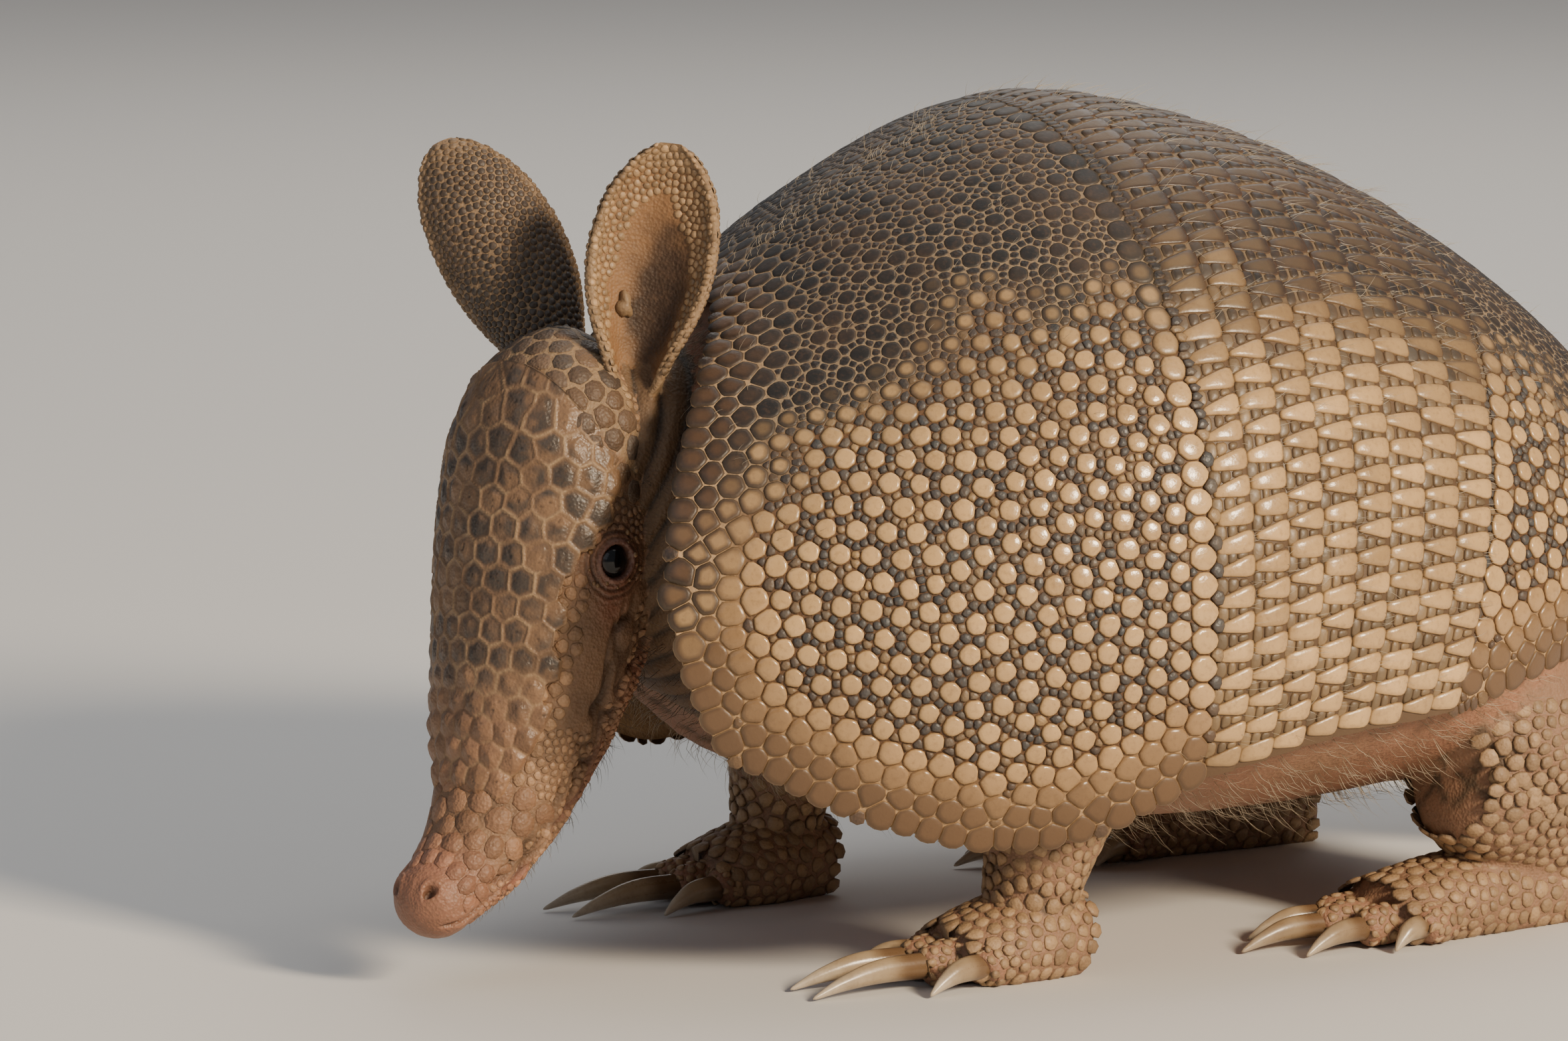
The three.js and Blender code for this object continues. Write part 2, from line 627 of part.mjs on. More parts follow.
for (const [name, side] of Object.entries(headSides)) {
  for (const [place, kind] of Object.entries(LEGS)) {
    const leg = wholeLeg(kind, side, 0);
    const grownLeg = wholeLeg(kind, side, GAP);
    addNode(`${place}leg_${name}`, without(leg, grownTrunk, grownShield, grownPelvic), SKIN);
    const digits = toes(kind, side);
    const foot = mirrored(kind.foot, side);
    const whole = digits.reduce((sum, { toe }) => sum.add(limb(toe, 3, 5)), limb(foot, 5, 8));
    const grownFoot = digits.reduce(
      (sum, { toe }) => sum.add(limb(toe, 3, 5, GAP, LIMB_ENDS, -GAP)), limb(foot, 5, 8, GAP));
    addNode(`${place}foot_${name}`, without(whole, grownLeg), SKIN);
    digits.forEach(({ claw }, index) => {
      const horn = limb(claw, 3, 5, 0, CLAW_ENDS);
      addNode(`${place}claw_${name}_${index + 1}`, without(horn, grownFoot), CLAW);
    });
  }
}

for (let index = 0; index < TAIL_LENGTHS; index += 1) {
  const length = tailLength(index);
  addNode(`tail_${index + 1}`, index ? length : without(length, grownTrunk, grownPelvic), SKIN);
}

export default animal;
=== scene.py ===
"""A nine-banded armadillo: its shell of bead-like scutes, its scaled head, ears, legs and tail."""

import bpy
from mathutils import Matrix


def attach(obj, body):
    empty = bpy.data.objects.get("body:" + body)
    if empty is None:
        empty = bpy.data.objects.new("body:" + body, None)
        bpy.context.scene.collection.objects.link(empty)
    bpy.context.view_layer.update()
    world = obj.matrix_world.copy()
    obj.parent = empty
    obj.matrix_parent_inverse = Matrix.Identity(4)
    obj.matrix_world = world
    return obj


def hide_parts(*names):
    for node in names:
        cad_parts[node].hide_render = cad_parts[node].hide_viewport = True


bl_info = {
    "name": "Nine-banded armadillo",
    "version": (1, 0, 0),
    "blender": (4, 5, 0),
    "location": "3D View > Sidebar > Armadillo",
    "description": "Builds the shell, skin, scales, claws and eyes of an armadillo",
    "category": "Add Mesh",
}

import math
from math import pi
from types import SimpleNamespace
import bpy
import numpy as np
from mathutils import Vector
from mathutils.kdtree import KDTree

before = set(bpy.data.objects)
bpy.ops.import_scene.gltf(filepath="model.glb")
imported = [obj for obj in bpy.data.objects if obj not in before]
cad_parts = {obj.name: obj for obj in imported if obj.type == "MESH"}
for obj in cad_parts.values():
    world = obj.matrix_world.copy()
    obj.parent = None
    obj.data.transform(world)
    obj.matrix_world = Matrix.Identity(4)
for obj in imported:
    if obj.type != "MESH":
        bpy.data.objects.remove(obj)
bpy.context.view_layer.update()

# ---------------- sizes, in millimetres

MM = 0.001
CENTRE = (0, 136.8)              # the middle of the whole animal, measured from the shell's zero

# The shell's rings: where each one's widest level lies, how far it leans back, and its size.
RING = {
    "s": [-100, -75, -50, -25, 0, 30, 61, 80, 100, 120, 140, 152],
    "y": [-98.5, -74.3, -49.9, -25, 0, 30, 60.5, 76, 91, 104, 114, 118],
    "z": [54, 59.8, 63.7, 65.6, 66, 63.5, 57.5, 56, 55, 53, 51, 50],
    "lean": [-16, -11.5, -7, -2.5, 2, 7.5, 16, 28, 42, 57, 72, 80],
    "width": [46, 61, 73, 81.5, 86, 84.5, 80, 77, 71, 61, 46, 36],
    "rise": [50, 57, 66.5, 83, 96, 94.5, 85.5, 75, 63, 53, 47, 45],
}
TUCK = 0.09                      # the share by which a flank draws in at TUCK_DROP below its widest
TUCK_DROP = 35
TURN = math.radians(6)           # how far the shell's front bends to one side, over TURN_LENGTH
TURN_LENGTH = 95

# The shoulder shield's curved front, and how far down the flank its lower edge lies.
SHIELD_FRONT = {"s": -42, "reach": -44.6, "peak": 82, "round": 12}
SHIELD_EDGE = {"v": [0, 0.12, 0.35, 0.6, 0.85, 1], "t": [101, 111, 118, 116, 110, 105]}
SHELL_SPAN = (-95, 152)          # where scutes may lie: along the back, and in degrees down a flank
SHELL_REACH = 119
SHIELD_THICK = 2.2
SCALE_RADIUS = 0.72              # of the small scales between the beads
ROW_BEAD = 2.6                   # the beads' radius in the row by the bands
FAR = 30.0                       # a distance from any margin at which none of its colour shows
BANDS = 8
BANDS_LENGTH = 61
BAND_EDGE = (105, 96)            # how far down the flank the first and the last band reach
PELVIC_END = 151
PELVIC_EDGE = {"s": [61, 75, 90, 105, 120, 136, 151], "t": [96, 94, 91, 86, 77, 62, 38]}
TRUNK = (-74.0, 147.0)           # where the trunk's skin begins and ends along the back
TRUNK_PART, NECK_PART, HEAD_PART = range(3)     # the skin's first parts, in their order
HAIRS = {"band": 170, "shoulder": 420, "rump": 500, "jaw": 900, "neck": 500, "belly": 2600,
         "chest": 1500}          # how many grow in each place, one band's on every band
LIMB_ENDS = (0.12, 0.12)         # the shares over which a leg's or toe's ends are rounded
CREAM_LINE = {                   # how far down the flank the dark back gives way to cream
    "s": [-90, -80, -70, -48, -27, -5, 20, 45, 75, 150],
    "t": [78, 66, 50, 44, 42, 47, 50, 50, 44, 30],
}
BELLY = {                        # the belly line under each ring
    "s": [-74, -55, -30, 0, 40, 80, 110, 130, 147],
    "y": [-68, -52, -28, 0, 38, 68, 92, 114, 134],
    "z": [50, 36, 27, 23, 21, 22, 24, 25, 26],
}

HEAD_ROOT = (-3, -91.5, 110.5)
HEAD_TURN = math.radians(18)     # towards the animal's left
HEAD = {
    "span": (-12.5, 108),
    "h": [-15, 0, 16, 32, 48, 64, 76, 87, 98, 109],
    "forward": [-3.5, 0, 1.2, 3.3, 6.3, 10.6, 15, 21.8, 31, 41],
    "drop": [-14.5, 0, 15.9, 31.8, 47.5, 62.9, 74, 84, 91.5, 97],
    "halfWidth": [14, 19, 21.2, 21.4, 19.8, 17, 14.2, 11.3, 8.9, 7.7],
    "front": [10, 15.5, 17.6, 18, 17, 15, 12.8, 10.4, 8.4, 7.4],
    "back": [14, 24, 26, 25, 21.8, 17, 13.2, 10, 8, 6.8],
}
HEAD_LOFT = (-12.3, 107.95)       # where the head's skin begins and ends along it
SKIN_SINK = 0.4                  # how far the head's skin lies under its surface
HEAD_SHIELD = {                  # reach: degrees to each side of the forehead's middle
    "span": (-4, 83),
    "v": [0, 0.18, 0.36, 0.7, 1],
    "reach": [84, 74, 58, 58, 42],
    "arch": 15,
}
EYE = {"h": 30.5, "angle": 80, "radius": 3.3, "sink": 2, "drops": 16}

EAR_ROOT = {"h": -5, "front": -7, "buried": 3}
EAR = {                          # down the ear: its width and how far it rolls round
    "p": [0, 0.15, 0.4, 0.65, 0.85, 0.95, 1],
    "width": [0.36, 0.56, 0.95, 1, 0.76, 0.46, 0.2],
    "roll": [125, 108, 72, 52, 42, 36, 30],
}
EAR_POSE = {
    "left": {"side": 1, "out": 14, "length": 47.5, "axis": (0.04, 0.1, 1), "faces": 54, "tip": -1.5},
    "right": {"side": -1, "out": 6.5, "length": 53.5, "axis": (-0.52, -0.17, 0.86), "faces": -114,
              "tip": -3},
}
EAR_HALF_WIDTH = 12.2
EAR_THICK = 1.7
EAR_HOLLOW = 0.75                # the share of its bow that the axis stands clear of

NECK = {
    "x": [-1, -2.5, -3, -3, -3], "y": [-36, -54, -68, -80, -92], "z": [76, 83, 90, 97, 101],
    "across": [44, 38, 30, 22, 18], "through": [40, 36, 31, 25, 19],
}
TAIL = {
    "p": [0, 27, 58, 100, 156, 220, 292],
    "x": [0, 0, -1, -4, -10, -19, -33], "y": [127, 149, 176, 216, 271, 334, 404],
    "z": [52, 37, 21.5, 10.9, 6.4, 3.8, 1.4], "radius": [24, 21.5, 17, 12.4, 7.8, 4.6, 1.6],
}
TAIL_LENGTH = TAIL["p"][-1]
TAIL_PACE = 1.05                 # its rings of skin stand a little closer at the root

CAMERA = {"azimuth": 60, "elevation": 8, "distance": 1700, "lens": 200, "aim": (-23.8, -166.6, 78.9)}
LIT_PLACE = (0, -0.1, 0.07)      # where the lights look, in metres
FLOOR_SIZE = 6.0
LIGHTS = {                       # azimuth, elevation, distance, size, power and colour
    "key": (102, 25, 2.6, 0.49, 111, (1.0, 0.82, 0.6)),
    "fill": (15, 35, 1.8, 1.4, 3.5, (0.86, 0.92, 1.0)),
    "top": (200, 70, 1.8, 1.2, 6, (1.0, 0.95, 0.88)),
    "rear": (238, 38, 1.9, 1.2, 7, (1.0, 0.95, 0.88)),
}


def toe(x, y, length, claw, splay):
    return {"x": x, "y": y, "length": length, "claw": claw, "splay": splay}


LEGS = {
    "fore": {
        "leg": {"x": [44, 48, 49, 48.5, 48], "y": [-2, -8, -14, -17, -18], "z": [64, 46, 30, 18, 9],
                "across": [16, 14.5, 11.5, 9.5, 8.5], "through": [19, 16, 12, 9.5, 8.5]},
        "foot": {"x": [48, 48, 47.5, 47.5], "y": [-6, -16, -26, -36], "z": [5.6, 6.8, 5.8, 4.2],
                 "across": [8, 10.5, 12.5, 11], "through": [9, 10.5, 8.8, 6.6]},
        "toes": [toe(40, -31, 6, 14, -14), toe(45, -34, 9, 24, -4), toe(50.5, -34, 9, 25, 4),
                 toe(56, -29, 5, 14, 16)],
        "toeSize": (3.4, 4.2), "toeHeight": 4.4,
    },
    "hind": {
        "thigh": {"x": [38, 45, 53, 56], "y": [116, 102, 84, 72], "z": [50, 44, 36, 31],
                  "across": [20, 22, 19, 12], "through": [26, 27, 23, 14]},
        "leg": {"x": [56, 54.5, 52, 50.5], "y": [72, 84, 97, 107], "z": [34, 30, 20, 11],
                "across": [13, 15, 11.5, 9], "through": [14, 17, 13, 10]},
        "foot": {"x": [50, 50.5, 52, 53], "y": [111, 94, 74, 56], "z": [6, 6.6, 6, 4.4],
                 "across": [8, 9.5, 11.5, 12.5], "through": [9, 10, 9, 7]},
        "toes": [toe(43, 65, 5, 9, -18), toe(46.5, 58, 8, 15, -9), toe(52.5, 55, 10, 18, 2),
                 toe(58.5, 58, 8, 15, 12), toe(62.5, 66, 5, 9, 22)],
        "toeSize": (3.3, 4), "toeHeight": 4.2,
    },
}


# ---------------- numbers and curves

def curve(xs, ys, x):
    """A smooth curve through the points (xs, ys), flat beyond the ends."""
    xs, ys, x = np.asarray(xs, float), np.asarray(ys, float), np.asarray(x, float)
    gap = np.diff(xs)
    slope = np.diff(ys) / gap
    tangent = chain(
        slope[:1], (slope[:-1] * gap[1:] + slope[1:] * gap[:-1]) / (gap[:-1] + gap[1:]), slope[-1:])
    i = np.clip(np.searchsorted(xs, x) - 1, 0, len(xs) - 2)
    t = np.clip((x - xs[i]) / gap[i], 0, 1)
    start = (1 + 2 * t) * (1 - t) ** 2 * ys[i] + t * (1 - t) ** 2 * gap[i] * tangent[i]
    return start + t * t * (3 - 2 * t) * ys[i + 1] + t * t * (t - 1) * gap[i] * tangent[i + 1]


def mix(a, b, share):
    """a at share 0, b at share 1, and the blend between."""
    return a + (b - a) * share


def stacked(*axes):
    """Coordinates side by side as the last dimension of one array."""
    return np.stack(np.broadcast_arrays(*axes), -1)


def chain(*arrays, axis=0):
    """Arrays one after the other."""
    return np.concatenate(arrays, axis)


def ease(low, high, x):
    """0 below low, 1 above high and a smooth step between."""
    t = np.clip((x - low) / (high - low), 0, 1)
    return t * t * (3 - 2 * t)


def unit(v):
    return v / np.maximum(np.linalg.norm(v, axis=-1, keepdims=True), 1e-9)


def noise(points, size, seed=0):
    """Smooth noise from -1 to 1 at the points, with lumps about `size` across."""
    p = np.asarray(points, float) / size + seed * 17.31
    cell = np.floor(p).astype(np.int64)
    f = p - cell
    f = f * f * (3 - 2 * f)
    total = 0
    for dx in (0, 1):
        for dy in (0, 1):
            for dz in (0, 1):
                c = cell + (dx, dy, dz)
                key = (c[..., 0] * 73856093 ^ c[..., 1] * 19349663 ^ c[..., 2] * 83492791) & 0xFFFFFF
                key = (key * 2654435761 ^ key >> 7) & 0xFFFFFF
                weight = (np.where(dx, f[..., 0], 1 - f[..., 0]) * np.where(dy, f[..., 1], 1 - f[..., 1])
                          * np.where(dz, f[..., 2], 1 - f[..., 2]))
                total = total + weight * (key / 0x7FFFFF - 1)
    return total


def lumps(size, seed, *axes):
    """Noise at places given by their coordinates."""
    return noise(stacked(*axes), size, seed)


def turns(count):
    """Angles evenly round a circle."""
    return np.linspace(0, 2 * pi, count, endpoint=False)


def squircle(count, power):
    """Points evenly round a square with soft corners, as two arrays from -1 to 1."""
    theta = (np.arange(count) + 0.5) * 2 * pi / count
    return [np.sign(wave) * np.abs(wave) ** power for wave in (np.cos(theta), np.sin(theta))]


def tree_of(points):
    tree = KDTree(len(points))
    for i, co in enumerate(points):
        tree.insert(co, i)
    tree.balance()
    return tree


def nearest(points, targets, count=1):
    """The `count` nearest of the targets to each point: their numbers and distances."""
    tree = tree_of(targets)
    found = [tree.find_n(p, count) for p in points]
    return (np.array([[f[1] for f in row] for row in found]),
            np.array([[f[2] for f in row] for row in found]))


# ---------------- the shell's surface

def ring(name, s):
    """One of the rings' measures at s along the back."""
    return curve(RING["s"], RING[name], s)


def shoulder_edge(v):
    return curve(SHIELD_EDGE["v"], SHIELD_EDGE["t"], v)


def pelvic_edge(s):
    return curve(PELVIC_EDGE["s"], PELVIC_EDGE["t"], s)


def ring_point(s, side, up):
    """The point of a shell ring at lateral distance `side` and height `up` in its leaning plane."""
    share = np.clip(-s / TURN_LENGTH, 0, 1)
    turn = TURN * share * share * (3 - 2 * share)
    drift = math.tan(TURN) * (
        -TURN_LENGTH * (share ** 3 - share ** 4 / 2) + np.minimum(s + TURN_LENGTH, 0))
    lean = np.radians(ring("lean", s))
    back = up * np.sin(lean)
    return np.stack(np.broadcast_arrays(
        drift + side * np.cos(turn) + back * np.sin(turn),
        ring("y", s) + back * np.cos(turn) - side * np.sin(turn),
        ring("z", s) + up * np.cos(lean)), -1)


def shell(s, t, height=0):
    """The shell's point at s along the back and t degrees down the flank, raised by height."""
    width = ring("width", s) + height
    rise = ring("rise", s)
    angle = np.radians(np.abs(t))
    over = np.maximum(angle - pi / 2, 0)
    drop = rise * over
    side = np.sign(t) * width * np.where(over > 0, 1 - TUCK * (drop / TUCK_DROP) ** 2, np.sin(angle))
    return ring_point(s, side, np.where(over > 0, -drop, (rise + height) * np.cos(angle)))


def shield_front(t):
    f = SHIELD_FRONT
    return f["s"] + f["reach"] * np.sin(pi / 2 * np.hypot(t, f["round"]) / f["peak"])


def shoulder_at(across, v):
    """Shell coordinates on the shoulder shield: across from -1 to 1, v from front to rear."""
    t = across * shoulder_edge(v)
    return mix(shield_front(t), 0, v), t


def shoulder_holds(s, t):
    v = 1 - s / shield_front(t)
    return (v >= 0) & (s <= 0) & (np.abs(t) <= shoulder_edge(v))


def pelvic_at(across, v):
    s = mix(BANDS_LENGTH, PELVIC_END, v)
    return s, across * pelvic_edge(s)


def pelvic_holds(s, t):
    return (s >= BANDS_LENGTH) & (s <= PELVIC_END) & (
        np.abs(t) <= pelvic_edge(s))


# row: where the row of beads by the bands stands, how far down the flanks it goes, and its pitch.
SHIELDS = {
    "shoulder_shield": {"at": shoulder_at, "holds": shoulder_holds, "end": 0,
                        "row": (-2.7, 103, 5.2), "seed": 11, "grid": (41, 141)},
    "pelvic_shield": {"at": pelvic_at, "holds": pelvic_holds, "end": 1,
                      "row": (BANDS_LENGTH + 3, 94, 5.1), "seed": 12, "grid": (45, 121)},
}


# ---------------- gathering meshes

class Pile:
    """Points, faces, unwrap, tint and gloss gathered for one piece."""

    def __init__(self):
        self.points, self.unwrap, self.tint, self.gloss = [], [], [], []
        self.faces = {3: [], 4: []}
        self.count = 0

    def add(self, points, faces, unwrap, tint, gloss):
        """Takes points (n, 3) with faces as lists of number arrays (k, 3) or (k, 4)."""
        n = len(points)
        self.points.append(points)
        self.unwrap.append(np.broadcast_to(unwrap, (n, 2)))
        self.tint.append(np.broadcast_to(tint, (n, 3)))
        self.gloss.append(np.broadcast_to(gloss, (n,)))
        for numbers in faces:
            self.faces[numbers.shape[1]].append(numbers + self.count)
        self.count += n

    def piece(self, name, material, slot, *nodes):
        """Makes the Blender object, rides it and stands it for its nodes."""
        faces = [np.concatenate(f) for f in self.faces.values() if f]
        corners = np.concatenate([f.ravel() for f in faces])
        mesh = new_mesh(name, np.concatenate(self.points), faces, np.concatenate(self.unwrap)[corners],
                        np.concatenate(self.tint), np.concatenate(self.gloss))
        return place(name, mesh, bpy.data.materials[material], slot, *nodes)


def plain_mesh(name, points, faces):
    """A mesh from points (n, 3) and faces as a list of number arrays (k, 3) or (k, 4)."""
    corners = np.concatenate([f.ravel() for f in faces]).astype(np.int32)
    sizes = np.concatenate([np.full(len(f), f.shape[1], np.int32) for f in faces])
    mesh = bpy.data.meshes.new(name)
    mesh.vertices.add(len(points))
    mesh.vertices.foreach_set("co", points.astype(np.float32).ravel())
    mesh.loops.add(len(corners))
    mesh.loops.foreach_set("vertex_index", corners)
    mesh.polygons.add(len(sizes))
    mesh.polygons.foreach_set("loop_start", np.cumsum(sizes, dtype=np.int32) - sizes)
    return mesh


def new_mesh(name, points, faces, unwrap, tint, gloss):
    """A piece's mesh in metres, with an unwrap per face corner and a tint and gloss per point."""
    mesh = plain_mesh(name, (points - (*CENTRE, 0)) * MM, faces)
    mesh.polygons.foreach_set("use_smooth", np.ones(len(mesh.polygons), bool))
    layer = mesh.uv_layers.new(name="OFBake")
    layer.uv.foreach_set("vector", unwrap.astype(np.float32).ravel())
    tint = chain(np.clip(tint, 0, 1), np.ones((len(points), 1)), axis=1)
    mesh.color_attributes.new("tint", "FLOAT_COLOR", "POINT").data.foreach_set(
        "color", tint.astype(np.float32).ravel())
    mesh.attributes.new("gloss", "FLOAT", "POINT").data.foreach_set("value", gloss.astype(np.float32))
    mesh.update(calc_edges=True)
    mesh.validate()
    return mesh


def place(name, mesh, material, slot, *nodes):
    piece = bpy.data.objects.new(name, mesh)
    bpy.context.scene.collection.objects.link(piece)
    mesh.materials.append(material)
    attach(piece, "root")
    if nodes:
        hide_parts(*nodes)
    return piece


def grid_faces(rows, columns, closed=False):
    """Quads of a grid numbered row by row; closed joins the last column to the first."""
    numbers = np.arange(rows * columns).reshape(rows, columns)
    if closed:
        numbers = chain(numbers, numbers[:, :1], axis=1)
    return stacked(numbers[:-1, :-1], numbers[:-1, 1:], numbers[1:, 1:], numbers[1:, :-1]).reshape(-1, 4)


# ---------------- scales

class Sites:
    """The middles of scales on a surface given by two coordinates."""

    def __init__(self, surface, at, unwrap):
        self.surface, self.at, self.unwrap_at = surface, at, unwrap
        a, b = at[:, 0], at[:, 1]
        step = 0.01
        self.points = surface(a, b)
        self.along_a = (surface(a + step, b) - surface(a - step, b)) / (2 * step)
        self.along_b = (surface(a, b + step) - surface(a, b - step)) / (2 * step)
        self.e1 = unit(self.along_a)
        self.e2 = unit(self.along_b - (self.along_b * self.e1).sum(-1, keepdims=True) * self.e1)
        out = surface(a[:1], b[:1], np.ones(1)) - self.points[:1]
        self.outward = float((np.cross(self.along_a[:1], self.along_b[:1]) * out).sum()) > 0

    def offsets(self, xy):
        """Turns steps in the tangent plane into steps of the surface's coordinates."""
        pad = (slice(None),) + (None,) * (xy.ndim - 2)
        db = xy[..., 1] / (self.along_b * self.e2).sum(-1)[pad]
        da = (xy[..., 0] - db * (self.along_b * self.e1).sum(-1)[pad]) / (
            np.linalg.norm(self.along_a, axis=-1)[pad])
        return stacked(da, db)

    def place(self, offset, height):
        spot = self.at[:, None] + offset
        return self.surface(spot[..., 0], spot[..., 1], height)

    def unwrap(self, offset):
        spot = self.at[:, None] + offset
        return self.unwrap_at(spot[..., 0], spot[..., 1])


def cell_outlines(sites, radius, sides, gap, reach, seed):
    """The outline of each scale, as offsets from its middle.

    A scale reaches to the groove it shares with each neighbour, which lies nearer to the one with
    the smaller radius, and no further than reach."""
    points, e1, e2 = sites.points, sites.e1, sites.e2
    others = nearest(points, points, min(19, len(points)))[0][:, 1:]
    step = points[others] - points[:, None]
    x, y = (step * e1[:, None]).sum(-1), (step * e2[:, None]).sum(-1)
    away = np.maximum(np.hypot(x, y), 1e-6)
    gap = np.broadcast_to(gap, len(points))
    bound = (away ** 2 + radius[:, None] ** 2 - radius[others] ** 2) / (2 * away) - gap[:, None]
    phase = np.random.default_rng(seed).random(len(points))
    theta = (np.arange(sides) + phase[:, None]) * 2 * pi / sides
    toward = x[..., None] * np.cos(theta)[:, None] + y[..., None] * np.sin(theta)[:, None]
    toward = toward / away[..., None]
    limit = np.where(toward > 0.1, bound[..., None] / np.maximum(toward, 0.1), 1e6).min(1)
    limit = np.clip(limit, 0.12, np.broadcast_to(reach, len(points))[:, None])
    outline = sites.offsets(limit[..., None] * stacked(np.cos(theta), np.sin(theta)))
    return (np.roll(outline, 1, 1) + outline + np.roll(outline, -1, 1)) / 3


def add_scales(pile, sites, outline, rings):
    """Raises a closed scale on each outline. rings lists (share, height, tint, gloss) from the foot
    of a scale to its crown, and the last one is the crown's middle point."""
    n, sides = outline.shape[:2]
    points, unwraps, tints, glosses = [], [], [], []
    for share, height, tint, gloss in rings:
        ring = outline * np.reshape(share, (-1, 1, 1)) if np.any(share) else np.zeros((n, 1, 2))
        shape = ring.shape[:2]
        high = np.broadcast_to(np.asarray(height, float).reshape(-1, 1), shape)
        points.append(sites.place(ring, high))
        unwraps.append(sites.unwrap(ring))
        tints.append(np.broadcast_to(np.asarray(tint, float).reshape(-1, 1, 3), (*shape, 3)))
        glosses.append(np.broadcast_to(np.asarray(gloss, float).reshape(-1, 1), shape))
    each = sides * (len(rings) - 1) + 1
    quads = grid_faces(len(rings) - 1, sides, closed=True)
    ring = (len(rings) - 2) * sides + np.arange(sides)
    top = stacked(ring, np.roll(ring, -1), each - 1)
    if not sites.outward:
        quads, top = quads[:, ::-1], top[:, ::-1]
    base = np.arange(n)[:, None, None] * each
    pile.add(np.concatenate(points, 1).reshape(-1, 3),
             [(base + quads).reshape(-1, 4), (base + top).reshape(-1, 3)],
             np.concatenate(unwraps, 1).reshape(-1, 2),
             np.concatenate(tints, 1).reshape(-1, 3), np.concatenate(glosses, 1).reshape(-1))


def scatter(points, order, spacing, taken=(), clear=0):
    """Picks points in the given order, none nearer to one picked before than its spacing."""
    tree = tree_of(points)
    free = np.ones(len(points), bool)
    for co in taken:
        for _, j, _ in tree.find_range(co, clear):
            free[j] = False
    chosen = []
    for i in order:
        if free[i]:
            chosen.append(i)
            for _, j, _ in tree.find_range(points[i], float(spacing[i])):
                free[j] = False
    return np.array(chosen, int)


def relax(surface, at, spacing, still, rounds, holds, anchors=None, anchor_spacing=None):
    """Pushes crowded points apart along the surface, apart from the ones that stand still."""
    at = at.copy()
    for _ in range(rounds):
        sites = Sites(surface, at, None)
        points = sites.points
        every = points if anchors is None else chain(points, anchors)
        room = spacing if anchors is None else chain(spacing, anchor_spacing)
        numbers, _ = nearest(points, every, 9)
        step = points[:, None] - every[numbers[:, 1:]]
        away = np.maximum(np.linalg.norm(step, axis=-1), 1e-6)
        wanted = (spacing[:, None] + room[numbers[:, 1:]]) / 2
        push = (step / away[..., None] * np.maximum(wanted - away, 0)[..., None] * 0.3).sum(1)
        xy = stacked((push * sites.e1).sum(-1), (push * sites.e2).sum(-1))
        moved = at + sites.offsets(xy)
        allowed = ~still & holds(moved[:, 0], moved[:, 1])
        at[allowed] = moved[allowed]
    return at


# ---------------- the shell's pieces

def shell_unwrap(s, t):
    """The shell laid flat, the tail's end at the top."""
    return stacked(0.5 + t / 250, 0.06 + (s + 100) / 290)


def margin_points(edge_at, end):
    """Close points along a shield's margin: its two lower edges and its free end."""
    v, across = np.linspace(0, 1, 400), np.linspace(-1, 1, 900)
    lines = edge_at(-1, v), edge_at(1, v), edge_at(across, np.full(900, float(end)))
    return np.concatenate([shell(*line) for line in lines])


def sheet_faces(rows, columns):
    """The faces of a closed sheet: its upper grid, its lower grid and the walls between."""
    faces = grid_faces(rows, columns)
    n = rows * columns
    numbers = np.arange(n).reshape(rows, columns)
    border = chain(numbers[0], numbers[1:, -1], numbers[-1, -2::-1], numbers[-2:0:-1, 0])
    follow = np.roll(border, -1)
    walls = stacked(border, border + n, follow + n, follow)
    return chain(faces[:, ::-1], faces + n, walls)


def shell_plate(at, rows, columns, top, thickness, colour_at):
    """A closed bent plate under the scutes, its edges rounded off."""
    pile = Pile()
    across, v = np.meshgrid(np.linspace(-1, 1, columns), np.linspace(0, 1, rows))
    s, t = at(across, v)
    rim = np.minimum.reduce([v * 60, (1 - v) * 60, (1 - np.abs(across)) * 80])
    thin = np.sqrt(np.clip(rim / 1.6, 0, 1))
    upper = shell(s, t, top(s, t) - 0.5 * (1 - thin)).reshape(-1, 3)
    lower = shell(s, t, top(s, t) - thickness * (0.5 + 0.5 * thin)).reshape(-1, 3)
    colour = colour_at(s.ravel(), t.ravel())
    unwrap = shell_unwrap(s.ravel(), t.ravel())
    pile.add(chain(upper, lower), [sheet_faces(rows, columns)],
             chain(unwrap, unwrap * 0.02), chain(colour, colour), 0.6)
    return pile


def paleness(s, t):
    """0 on the dark back and 1 where the scutes are cream, with a ragged border."""
    line = curve(CREAM_LINE["s"], CREAM_LINE["t"], s)
    ragged = lumps(9, 3, s, t * 1.4, 0 * s) * 7
    return ease(line - 9, line + 16, np.abs(t) + ragged)


def shell_colours(look, s, t, margin):
    """Bead, scale and groove colours where the nearest margin lies `margin` away."""
    pale = paleness(s, t)[:, None]
    tan = ease(24, 8, margin)[:, None] * pale ** 0.6
    brown = ease(15, 4, margin)[:, None]
    rng = np.random.default_rng(len(s))
    fleck = rng.random((len(s), 1))
    shade = 1 + 0.16 * (rng.random((len(s), 1)) - 0.5)
    bead = mix(mix(look.dark_bead, look.cream, pale), look.tan, tan * 0.8)
    bead = mix(bead, look.brown, brown * 0.85) * shade
    flecked = mix(look.slate, look.cream * 0.6, fleck ** 3.5)
    scale = mix(look.dark_scale, flecked, ease(0, 0.8, pale))
    scale = mix(scale, look.brown, tan * 0.7)
    groove = mix(look.dorsal_net, look.groove, ease(0.1, 0.6, pale))
    groove = mix(groove, look.pale_net, ease(16, 7, margin)[:, None])
    return bead, scale, groove


